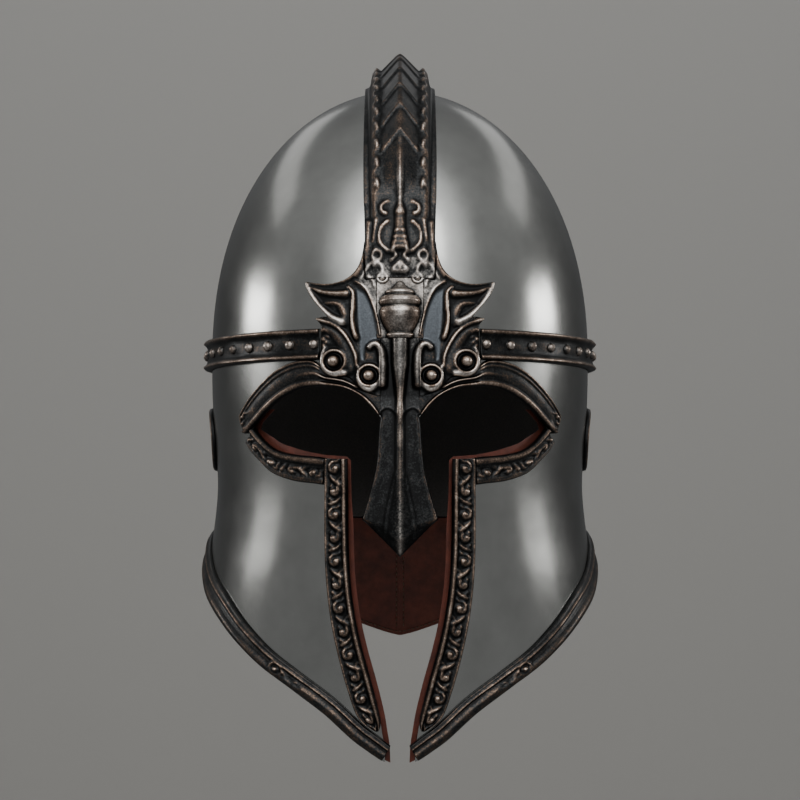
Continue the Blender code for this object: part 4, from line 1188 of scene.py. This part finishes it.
# Half section of the comb: shares of its half width and of its height, and where its flange starts
COMB_SHARES = [1.0, 0.955, 0.93, 0.86, 0.80, 0.76, 0.70, 0.62, 0.54, 0.47, 0.40, 0.16, 0.05, 0.0]
COMB_RISES = [0.10, 0.15, 0.15, 0.15, 0.34, 0.50, 0.60, 0.64, 0.60, 0.56, 0.62, 0.85, 0.97, 1.0]
COMB_FLANGE = 0.86


def make_crest(sizes):
    """The comb: flanges, bulging rails with drop beads, and a feathered spine."""
    count, across = 700, 77
    t = np.linspace(0, 1, count)[:, None]
    row = rows_at(CREST, t[:, 0] * (len(CREST) - 1))
    start = CREST_START - OVERHANG / BOWL_HEIGHT
    over = start + (CREST_END - start) * t
    degrees = np.degrees(over)
    share = np.linspace(-1, 1, across)[None, :]
    side = np.abs(share)
    half = row[:, :1] * CREST_HALF_WIDTH
    tall = row[:, 1:] * sizes.comb_height / MM
    profile = np.interp(side, COMB_SHARES[::-1], COMB_RISES[::-1])
    profile = smear(np.repeat(profile, 3, axis=0), 1)[:1]
    panel = 1 - swell((degrees - 27) / 6)
    plateau = np.interp(side, [0, 0.74, COMB_FLANGE, 1.0], [0.52, 0.50, 0.20, 0.12])
    flange = side > COMB_FLANGE
    body = (profile * (1 - panel) + plateau * panel) * tall
    height = np.where(flange, np.minimum(profile * sizes.comb_height / MM, 3.0),
                      np.maximum(body, GROUND + 0.3 * (1 - panel)))
    settle = swell((degrees - 11.7) / 8)
    height = height * settle + GROUND * (1 - settle)
    height = smear(height, 1)
    trimmed = swell((degrees - 26) / 1.5)
    for at in (0.905, 0.975):
        height = np.maximum(height, (2.6 + bead(side, at, 0.032, 1.0)) * trimmed * flange)
    phase = (degrees - 43 + 9 * side) / 7.6
    part = phase - np.floor(phase)
    layer = 1.5 * (1 - part) ** 0.8 + 0.35 * np.exp(-((np.minimum(part, 1 - part)) / 0.10) ** 2)
    barbs = 0.26 * np.sin((degrees + 30 * side) * 3.1) * swell(side / 0.08)
    reach = swell((0.52 - side) / 0.08) * swell((degrees - 39.5 + 9 * side) / 3)
    height = height + (layer + barbs) * reach
    spine = bead(side, 0, 0.06, 1.2) * swell((degrees - 26) / 2)
    height = height + spine * (0.20 + 0.80 * (1 - swell((degrees - 36) / 4)))
    drop = (degrees - 31) / 5.2
    nearby = drop - np.round(drop)
    beads = np.clip(1 - (nearby / 0.27) ** 2 - ((side - 0.60 - 0.06 * nearby) / 0.075) ** 2, 0, 1)
    hooks = bead(side + 0.10 * np.cos(nearby * FULL_TURN), 0.62, 0.035, 0.8) * (np.abs(nearby) > 0.22)
    height = height + (1.9 * np.sqrt(beads) + hooks) * swell((degrees - 29) / 2)
    rail = np.maximum(bead(side, 0.715, 0.02, 0.5), bead(side, 0.775, 0.02, 0.5))
    height = height + rail * (1 - panel)
    x = share * half / MM
    lying = comb_point(share * half, over + 0 * share, height * MM)
    ornament = brow_ornament(x, lying[..., 2] / MM)
    framed = np.maximum(swell((0.9 - side) / 0.05), 1 - swell((degrees - 24) / 2))
    height = height + ornament * panel * framed
    height = smear(height, 1)
    top = comb_point(share * half, over + 0 * share, SEAT + height * MM)
    foot = share[:, [0, 19, 38, 57, 76]]
    under = comb_point(foot * half, over + 0 * foot, np.full((count, 5), SEAT))
    wear = rubbed(height, 2, 1.7) * (1 - panel) + rubbed(height, 2, 0.8) * panel
    wear = wear - 0.08 * swell((degrees - 40) / 20)
    shine = 0.6 * np.exp(-((degrees - 30) / 4) ** 2) * (side < 0.1) + 0.25 * beads
    shine = np.maximum(shine, brow_shine(x, lying[..., 2] / MM) * panel)
    marks = {key: np.concatenate([field, np.zeros((count, 5))], axis=1)
             for key, field in (("rub", wear), ("shine", shine))}
    mesh = swept("crest", np.concatenate([top, under[:, ::-1]], axis=1), marks)
    place("crest", mesh, "antiqued_cast_pewter", "pewter", "crest")


def make_scroll():
    """The horned casting beside the finial, with two volutes."""

    def in_panel(x, z):
        flat = np.stack([np.abs(x).ravel(), z.ravel()], -1)
        apart, _, inside = nearest_on(flat, along(BLUE_PANEL + BLUE_PANEL[:1], 4)[:-1])
        return swell(np.where(inside, apart, 0) / 0.8).reshape(x.shape)

    def relief(x, z, inside):
        return GROUND - 0.8 * in_panel(x, z) + brow_ornament(x, z)

    def rounding(x, z, inside):
        return np.where(np.abs(x) < 12.4, 1.0, 0.25 + 0.75 * rounded_edge(inside, 1.2))

    marks = {"blue": in_panel, "shine": brow_shine}
    mesh = casting("brow_scroll", outline_of(SCROLL_RUNS), relief, marks, depth=1.2, rounding=rounding)
    both_hands("brow_scroll", mesh, "antiqued_cast_pewter", "pewter")


def make_finial():
    """The baluster under the comb, on its ground."""
    side, low, high = 11.45, 4.8, 35.0
    levels = np.array(FINIAL)[::-1]

    def radius_at(z):
        return np.interp(z, levels[:, 0], levels[:, 1], left=6.6, right=0)

    def relief(x, z, inside):
        radius = radius_at(z)
        turned = np.sqrt(np.clip(radius ** 2 - x ** 2, 0, None)) * 0.98
        ground = GROUND + brow_ornament(x, z) * (np.abs(x) > radius + 0.3)
        return np.maximum(turned + 1.2 * (turned > 0), ground)

    # Painted highlight: on the baluster the silver peaks down its middle and fades to its sides, a
    # reflection of the front lamp painted into its colour. Off the baluster it is the rubbed silver
    # ground of the brow.
    def shine(x, z):
        return np.where(np.abs(x) < radius_at(z), 0.85 * np.exp(-(x / 5.0) ** 2), brow_shine(x, z))

    corners = [(-side, low), (side, low), (side, high), (-side, high)]
    mesh = casting("finial", corners, relief, {"shine": shine}, fine=0.32, depth=2.4, soften=0)
    place("finial", mesh, "rubbed_cast_pewter", "rubbed_pewter", "finial")


def make_nasal():
    """The nose guard: lips and stem, a scalloped collar, and a ridged blade with a chisel end."""
    right = along(NASAL_SIDE, 5)[:, ::-1]
    outline_points = np.concatenate([right, [(0.0, NASAL_TIP)], (right * (-1, 1))[::-1]])
    face = np.array(NASAL_FACE_END)[::-1]

    def relief(x, z, inside):
        across = np.abs(x)
        lip = np.interp(across, face[:, 0], face[:, 1])
        edge = np.interp(across, [0, 18.6], [NASAL_TIP, -86.6])
        below = np.clip((lip - z) / np.maximum(lip - edge, 0.3), 0, 1)
        blade = z < -34
        level = 3.9 + 0.35 * (1 - across / 18) + 0 * z
        bevel = 0.55 + 0.45 * swell(inside / 1.3)
        crease = np.interp(-z, [61, 84, 97], [2.0, 6.6, 7.6])
        crease_lip = bead(across, crease, 0.5, 0.9) * swell((-z - 60) / 4)
        roof = level + 2.9 * np.clip(1 - across / crease, 0, 1) + crease_lip
        stem_half = np.interp(-z, [-5, 8, 27], [4.0, 3.9, 1.9])
        bar = level + bead(across, 0, stem_half, 2.7)
        height = np.maximum.reduce([roof * (z < -58), bar * (z >= -72), level])
        scallop = NASAL_COLLAR_END + 2.6 - 2.6 * np.abs((across - 6.0) / 3.6) ** 2.2
        collar = swell((z - np.minimum(scallop, NASAL_COLLAR_END + 2.6)) / 0.5)
        collar_edge = bead(z - scallop, 0.6, 0.8, 0.5)
        height = height + (0.9 * collar + collar_edge * (across > 2)) * (z > -38)
        upper = swell((z + 34) / 10)
        neck = GROUND + brow_ornament(x, z) + bead(across, 0, stem_half, 4.6)
        height = height * (1 - upper) + neck * upper
        rim = 1.1 * bead(inside, 0.6, 0.6, 1.0) * blade
        height = (height + rim) * (bevel * blade + (1 - blade))
        return height * (1 - 0.86 * below * (across < 18.4))

    def shine(x, z):
        stem = np.exp(-(x / 4.5) ** 2) * swell((z + 22) / 16)
        lips = swell((z + 24) / 14) * 0.8
        ridge = 0.55 * np.exp(-(x / 2.0) ** 2) * (1 - swell((z + 84) / 10))
        ridge = ridge + 0.35 * np.exp(-(x / 1.6) ** 2)
        return np.clip(np.maximum.reduce([stem, lips, ridge]), 0, 1)

    mesh = casting("nasal", outline_points, relief, {"shine": shine}, fine=0.40, depth=1.8)
    place("nasal", mesh, "blackened_cast_pewter", "pewter", "nasal")


BOSS_LEVEL = -0.0435


def make_ear_boss(sizes):
    """A low turned boss over each ear."""
    sides = 96
    share = np.linspace(1, 0.01, 44)[:, None]
    angle = circle(sides)
    around, upward = tangents(np.array([QUARTER_TURN]), np.array([BOSS_LEVEL]))

    def disc(share, height):
        turn = QUARTER_TURN + share * sizes.boss_radius * np.cos(angle) / np.linalg.norm(around)
        z = BOSS_LEVEL + share * sizes.boss_radius * np.sin(angle) / np.linalg.norm(upward)
        return lifted(turn, z, height)

    away = share * sizes.boss_radius / MM
    petals = 0.45 * np.abs(np.cos(angle * 6)) * swell((away - 5.5) / 1.5) * swell((13.2 - away) / 1.5)
    height = 0.9 + petals + mouldings(away, BOSS_BEADS)
    top = disc(share, SEAT + height * MM)
    foot = disc(np.array([[0.3], [1.0]]), np.full((2, sides), SEAT))
    marks = {"rub": np.concatenate([np.zeros((2, sides)), rubbed(height, 2, 1.5)])}
    mesh = swept("ear_boss", np.concatenate([foot, top]), marks)
    both_hands("ear_boss", mesh, "antiqued_cast_pewter", "pewter")


# Lining

# How far inside the steel the linings start, the gap along their edges, the turns and levels that
# they span, how far the neck leather's hem hangs, and its thread
LINING_OUT = -0.0024
LINING_GAP = 0.0006
LEATHER_TOP = -0.0300
LEATHER_START = math.radians(2)
LEATHER_END = math.radians(72)
NECK_TOP = -0.0878
HEM_HANG = 0.004
STITCH = 0.0032
SEAM_HALF = 0.021
THREAD_RADIUS = 0.00032


def make_cheek_lining(sizes):
    """Leather behind each cheek plate, showing past the metal round the opening."""

    def inset(points):
        across, level = np.abs(points[:, 0]), points[:, 1]
        lid = swell((across - 0.038) / 0.024) * swell((0.0765 - across) / 0.009) * (level < -0.036)
        mouth = swell((-0.072 - level) / 0.02)
        return sizes.leather_border + sizes.lid_border * lid + 0.0010 * mouth

    turns = np.linspace(LEATHER_START, LEATHER_END, 90)
    mesh = wall("cheek_lining", turns, LEATHER_TOP, bottom(turns) + LINING_GAP, LINING_OUT,
                LINING_OUT - sizes.leather, 70, False)
    mesh = cut_opening(mesh, opening_outline(inset, 0.45, NO_TAB, 2.0))
    both_hands("cheek_lining", mesh, "red_waxed_cowhide", "red_leather")


def neck_hem(turns):
    """Levels of the lower edge of the neck leather."""
    return bottom(turns) - HEM_HANG * np.cos(turns) ** 2


def make_neck_lining(sizes):
    """The leather curtain behind the neck, with a centre seam and a stitched hem."""
    start = LEATHER_END + 0.009
    turns = np.linspace(start, FULL_TURN - start, 260)
    hem = neck_hem(turns)[:, None]
    top = NECK_TOP - LINING_GAP
    z = top + (hem - top) * np.linspace(0, 1, 50)
    turn = turns[:, None] + 0 * z
    seam = np.exp(-((turn - HALF_TURN) / 0.012) ** 2) - np.exp(-((turn - HALF_TURN) / 0.004) ** 2)
    hemmed = bead((z - hem) / MM, 0.6, 1.3, 0.35)
    outer = surface(turn, z, LINING_OUT)
    thick = sizes.leather + (0.5 * seam + hemmed) * MM
    mesh = shell("neck_lining", outer, outer - unit(np.cross(*tangents(turn, z))) * thick[..., None])
    mesh.set_sharp_from_angle(angle=math.radians(50))
    place("neck_lining", mesh, "dark_waxed_cowhide", "dark_leather", "neck_lining")


def make_stitches(sizes):
    """Thread along the hem of the neck leather and beside its seam, inside the helmet."""
    start = LEATHER_END + 0.03
    turns = np.linspace(start, FULL_TURN - start, 150)[:, None]
    hem = neck_hem(turns) + 0.0016
    share = np.linspace(0.12, 0.72, 5)
    hem_turns = turns[:-1] + np.diff(turns, axis=0) * share
    hem_levels = hem[:-1] + np.diff(hem, axis=0) * share
    levels = np.arange(NECK_TOP - 0.002, float(bottom(np.array(HALF_TURN))) + 0.003, -STITCH)[:, None]
    seam_levels = levels - STITCH * np.linspace(0.1, 0.7, 5)
    seam_turns = HALF_TURN + SEAM_HALF + 0 * seam_levels
    turn = np.concatenate([hem_turns, FULL_TURN - seam_turns, seam_turns])
    z = np.concatenate([hem_levels, seam_levels, seam_levels])
    normal = unit(np.cross(*tangents(turn, z)))
    beside = np.cross(normal, unit(np.gradient(surface(turn, z), axis=1)))
    arch = 0.00035 + 0.00012 * np.sin(np.linspace(0, HALF_TURN, 5))[:, None]
    centre = surface(turn, z, LINING_OUT - sizes.leather) - normal * arch
    angle = circle(6)[:, None]
    spoke = beside[:, :, None] * np.cos(angle) + normal[:, :, None] * np.sin(angle)
    mesh = swept("neck_stitches", centre[:, :, None] + THREAD_RADIUS * spoke)
    place("neck_stitches", mesh, "waxed_linen_thread", "dark_leather")


def make_head_lining(sizes):
    """The padding of the crown and the back of the head, in felt."""
    brow = -0.0187 + sizes.leather
    turns = circle(120)
    low = np.where(np.cos(turns) > 0.31, brow, NECK_TOP)
    low = np.convolve(np.pad(low, 3, mode="wrap"), np.ones(7) / 7, mode="valid")[:, None]
    turn = turns[:, None]

    def layer(out, quilt):
        z = low * (1 - np.linspace(0, 1, 24)[:-1])
        gore = np.abs(np.sin(turn * 4))
        depth = out - quilt * 0.0007 * (1 - gore ** 0.35)
        skirt = surface(turn + 0 * z, z, depth + 0 * z)
        rise = np.linspace(0, 0.985, 30) * QUARTER_TURN
        height = (BOWL_HEIGHT + out) * np.sin(rise) ** (2 / BOWL_POWER) + 0 * turn
        part = np.cos(rise)
        dome = plan_point(part * np.sin(turn), part * np.cos(turn), height, 0 * height + out)
        return np.concatenate([skirt, dome], axis=1)

    outside, inside = layer(LINING_OUT, 0), layer(LINING_OUT - 0.003, 1)
    points = np.concatenate([outside.reshape(-1, 3), inside.reshape(-1, 3)])
    count = len(points) // 2
    index = np.arange(count).reshape(len(turns), -1)
    after = np.roll(index, -1, axis=0)
    skin = np.stack([index[:, :-1], after[:, :-1], after[:, 1:], index[:, 1:]], -1).reshape(-1, 4)
    hem = np.stack([after[:, 0], index[:, 0], index[:, 0] + count, after[:, 0] + count], -1)
    crown = index[:, -1]
    groups = [np.concatenate([skin, skin[:, ::-1] + count, hem]), np.array([crown, crown[::-1] + count])]
    mesh = mesh_of("head_lining", points, groups)
    mesh.set_sharp_from_angle(angle=math.radians(50))
    piece = place("head_lining", mesh, "black_wool_felt", "padding", "head_lining")


# Stage

# Lamps in pairs about the helmet: degrees round from the front and up, width and height in metres,
# and the setting that holds their power
Lamp = namedtuple("Lamp", "round_deg up_deg wide tall power")
LAMPS = [
    Lamp(101, 11.0, 0.66, 0.30, "side_watts"), Lamp(94, 3.2, 0.72, 0.24, "low_watts"),
    Lamp(132, 39, 1.90, 0.42, "rear_watts"), Lamp(24, 37, 0.46, 0.60, "front_watts"),
]
LAMP_DISTANCE = 2.0
CAMERA_AT = (0.0, -1.19895, -0.07155)
CAMERA_PITCH = math.radians(92.4)
CAMERA_LENS = 96.4
FLOOR_LEVEL = -1.9
SWEEP_RADIUS = 3.4
SWEEP_CURVE = 0.9
SWEEP_SIDES = 128
WINDOW_UP = math.radians(35)


def make_stage(stage):
    """Camera, soft lamps, and a pale floor that curves up into a backdrop all round. The floor lies
    well below the helmet, so that a camera that looks up from under it still sees it."""
    scene = bpy.context.scene
    camera = in_scene("camera", bpy.data.cameras.new("camera"))
    camera.location = CAMERA_AT
    camera.rotation_euler = (CAMERA_PITCH, 0, 0)
    camera.data.lens = CAMERA_LENS
    camera.data.sensor_width = 36
    camera.data.clip_start = 0.05
    scene.camera = camera
    for row in LAMPS:
        for side in (1, -1):
            data = bpy.data.lights.new(row.power, "AREA")
            data.shape = "RECTANGLE"
            data.size = row.wide
            data.size_y = row.tall
            data.energy = getattr(stage, row.power)
            lamp = in_scene(row.power, data)
            turn, rise = math.radians(side * row.round_deg), math.radians(row.up_deg)
            flat = math.cos(rise)
            way = Vector((math.sin(turn) * flat, -math.cos(turn) * flat, math.sin(rise)))
            lamp.location = way * LAMP_DISTANCE
            lamp.rotation_euler = (-way).to_track_quat("-Z", "Y").to_euler()
            lamp.visible_camera = False
    flat_end = SWEEP_RADIUS - SWEEP_CURVE
    bend = np.linspace(0.1, QUARTER_TURN, 16)
    radii = np.concatenate([[0.01], np.linspace(0.3, flat_end, 12),
                            flat_end + SWEEP_CURVE * np.sin(bend), np.full(6, SWEEP_RADIUS)])[:, None]
    levels = np.concatenate([np.zeros(13), SWEEP_CURVE - SWEEP_CURVE * np.cos(bend),
                             np.linspace(1.2, 5.2, 6)])[:, None]
    angle = circle(SWEEP_SIDES)
    rings = np.stack([radii * np.cos(angle), radii * np.sin(angle),
                      FLOOR_LEVEL + levels + 0 * angle], -1)
    index = np.arange(radii.size * SWEEP_SIDES).reshape(-1, SWEEP_SIDES)
    after = np.roll(index, -1, axis=1)
    quads = np.stack([index[1:], after[1:], after[:-1], index[:-1]], -1).reshape(-1, 4)
    mesh = mesh_of("studio_sweep", rings.reshape(-1, 3), [quads, index[:1]])
    mesh.materials.append(matt_paint("matt_studio_paint", stage.backdrop))
    sweep = in_scene("studio_sweep", mesh)
    sweep.visible_glossy = False
    world = bpy.data.worlds.new("studio")
    scene.world = world
    world.use_nodes = True
    tree = world.node_tree
    way = add(tree, "ShaderNodeTexCoord", out="Generated")
    axes = add(tree, "ShaderNodeSeparateXYZ", links={"Vector": way}).node.outputs
    ahead = add(tree, "ShaderNodeMapRange",
                {"From Min": -0.1, "From Max": 0.75, "To Min": 0.36, "To Max": 0.09},
                {"Value": axes["Y"]}, interpolation_type="SMOOTHSTEP")
    high = add(tree, "ShaderNodeMapRange",
               {"From Min": 0.15, "From Max": 0.6, "To Min": 0.0, "To Max": 0.20}, {"Value": axes["Z"]})
    window = add(tree, "ShaderNodeVectorMath", {1: (0.0, -math.cos(WINDOW_UP), math.sin(WINDOW_UP))},
                 {0: way}, out="Value", operation="DOT_PRODUCT")
    glow = add(tree, "ShaderNodeMapRange",
               {"From Min": 0.62, "From Max": 0.95, "To Min": 0.0, "To Max": stage.window_glow},
               {"Value": window}, interpolation_type="SMOOTHSTEP")
    soft = add(tree, "ShaderNodeMath", links={0: ahead, 1: high}, operation="ADD")
    total = add(tree, "ShaderNodeMath", links={0: soft, 1: glow}, operation="ADD")
    background = tree.nodes["Background"]
    background.inputs["Color"].default_value = (*linear("#eef0f2"), 1)
    join(tree, background, {"Strength": total})


# Operators, panel and registration

class HELMET_OT_stage(Operator):
    """Put up the camera, the lamps and the backdrop"""

    bl_idname = "helmet.stage"
    bl_label = "Stage"

    def execute(self, context):
        make_stage(context.scene.helmet_stage)
        return {"FINISHED"}


class HELMET_OT_skull(Operator):
    """Build the two crown plates"""

    bl_idname = "helmet.skull"
    bl_label = "Crown plates"

    def execute(self, context):
        make_skull(context.scene.helmet_sizes)
        return {"FINISHED"}


class HELMET_OT_guard(Operator):
    """Build the wraparound face and neck guard"""

    bl_idname = "helmet.guard"
    bl_label = "Face guard"

    def execute(self, context):
        make_guard(context.scene.helmet_sizes)
        return {"FINISHED"}


class HELMET_OT_band(Operator):
    """Build the band round the brow"""

    bl_idname = "helmet.band"
    bl_label = "Brow band"

    def execute(self, context):
        make_band(context.scene.helmet_sizes)
        return {"FINISHED"}


class HELMET_OT_studs(Operator):
    """Build the domed studs on the band"""

    bl_idname = "helmet.studs"
    bl_label = "Brow studs"

    def execute(self, context):
        make_studs(context.scene.helmet_sizes)
        return {"FINISHED"}


class HELMET_OT_crest(Operator):
    """Build the comb over the crown"""

    bl_idname = "helmet.crest"
    bl_label = "Comb"

    def execute(self, context):
        make_crest(context.scene.helmet_sizes)
        return {"FINISHED"}


class HELMET_OT_scroll(Operator):
    """Build the horned castings with their volutes"""

    bl_idname = "helmet.scroll"
    bl_label = "Brow scrolls"

    def execute(self, context):
        make_scroll()
        return {"FINISHED"}


class HELMET_OT_finial(Operator):
    """Build the baluster under the comb"""

    bl_idname = "helmet.finial"
    bl_label = "Finial"

    def execute(self, context):
        make_finial()
        return {"FINISHED"}


class HELMET_OT_nasal(Operator):
    """Build the nose guard"""

    bl_idname = "helmet.nasal"
    bl_label = "Nose guard"

    def execute(self, context):
        make_nasal()
        return {"FINISHED"}


class HELMET_OT_eyebrow(Operator):
    """Build the moulding over each eye"""

    bl_idname = "helmet.eyebrow"
    bl_label = "Eyebrows"

    def execute(self, context):
        make_eyebrow(context.scene.helmet_sizes)
        return {"FINISHED"}


class HELMET_OT_eye_rim(Operator):
    """Build the trim under each eye"""

    bl_idname = "helmet.eye_rim"
    bl_label = "Eye rims"

    def execute(self, context):
        make_eye_rim(context.scene.helmet_sizes)
        return {"FINISHED"}


class HELMET_OT_mouth_rim(Operator):
    """Build the trim down each cheek plate"""

    bl_idname = "helmet.mouth_rim"
    bl_label = "Mouth rims"

    def execute(self, context):
        make_mouth_rim(context.scene.helmet_sizes)
        return {"FINISHED"}


class HELMET_OT_lower_rim(Operator):
    """Build the trim round the lower edge"""

    bl_idname = "helmet.lower_rim"
    bl_label = "Lower rim"

    def execute(self, context):
        make_lower_rim(context.scene.helmet_sizes)
        return {"FINISHED"}


class HELMET_OT_ear_boss(Operator):
    """Build the boss over each ear"""

    bl_idname = "helmet.ear_boss"
    bl_label = "Ear bosses"

    def execute(self, context):
        make_ear_boss(context.scene.helmet_sizes)
        return {"FINISHED"}


class HELMET_OT_cheek_lining(Operator):
    """Build the leather behind each cheek plate"""

    bl_idname = "helmet.cheek_lining"
    bl_label = "Cheek leather"

    def execute(self, context):
        make_cheek_lining(context.scene.helmet_sizes)
        return {"FINISHED"}


class HELMET_OT_neck_lining(Operator):
    """Build the leather curtain and its stitches"""

    bl_idname = "helmet.neck_lining"
    bl_label = "Neck leather"

    def execute(self, context):
        make_neck_lining(context.scene.helmet_sizes)
        make_stitches(context.scene.helmet_sizes)
        return {"FINISHED"}


class HELMET_OT_head_lining(Operator):
    """Build the felt padding of the crown"""

    bl_idname = "helmet.head_lining"
    bl_label = "Padding"

    def execute(self, context):
        make_head_lining(context.scene.helmet_sizes)
        return {"FINISHED"}


OPERATORS = (
    HELMET_OT_stage, HELMET_OT_skull, HELMET_OT_guard, HELMET_OT_band, HELMET_OT_studs, HELMET_OT_crest,
    HELMET_OT_scroll, HELMET_OT_finial, HELMET_OT_nasal, HELMET_OT_eyebrow, HELMET_OT_eye_rim,
    HELMET_OT_mouth_rim, HELMET_OT_lower_rim, HELMET_OT_ear_boss, HELMET_OT_cheek_lining,
    HELMET_OT_neck_lining, HELMET_OT_head_lining,
)


class HELMET_PT_pieces(Panel):
    """Settings and pieces of the helmet"""

    bl_label = "Visored helmet"
    bl_space_type = "VIEW_3D"
    bl_region_type = "UI"
    bl_category = "Helmet"

    def draw(self, context):
        scene = context.scene
        for settings in (scene.helmet_sizes, scene.helmet_colours, scene.helmet_stage):
            box = self.layout.box()
            for key in type(settings).__annotations__:
                box.prop(settings, key)
        for operator in OPERATORS:
            self.layout.operator(operator.bl_idname)


CLASSES = (HelmetSizes, HelmetColours, HelmetStage, *OPERATORS, HELMET_PT_pieces)


def register():
    for each in CLASSES:
        bpy.utils.register_class(each)
    bpy.types.Scene.helmet_sizes = PointerProperty(type=HelmetSizes)
    bpy.types.Scene.helmet_colours = PointerProperty(type=HelmetColours)
    bpy.types.Scene.helmet_stage = PointerProperty(type=HelmetStage)


def unregister():
    del bpy.types.Scene.helmet_stage
    del bpy.types.Scene.helmet_colours
    del bpy.types.Scene.helmet_sizes
    for each in reversed(CLASSES):
        bpy.utils.unregister_class(each)


def main():
    """Build every piece in order."""
    register()
    bpy.ops.helmet.stage()
    bpy.ops.helmet.skull()
    bpy.ops.helmet.guard()
    bpy.ops.helmet.band()
    bpy.ops.helmet.studs()
    bpy.ops.helmet.crest()
    bpy.ops.helmet.scroll()
    bpy.ops.helmet.finial()
    bpy.ops.helmet.nasal()
    bpy.ops.helmet.eyebrow()
    bpy.ops.helmet.eye_rim()
    bpy.ops.helmet.mouth_rim()
    bpy.ops.helmet.lower_rim()
    bpy.ops.helmet.ear_boss()
    bpy.ops.helmet.cheek_lining()
    bpy.ops.helmet.neck_lining()
    bpy.ops.helmet.head_lining()


if __name__ == "__main__":
    main()
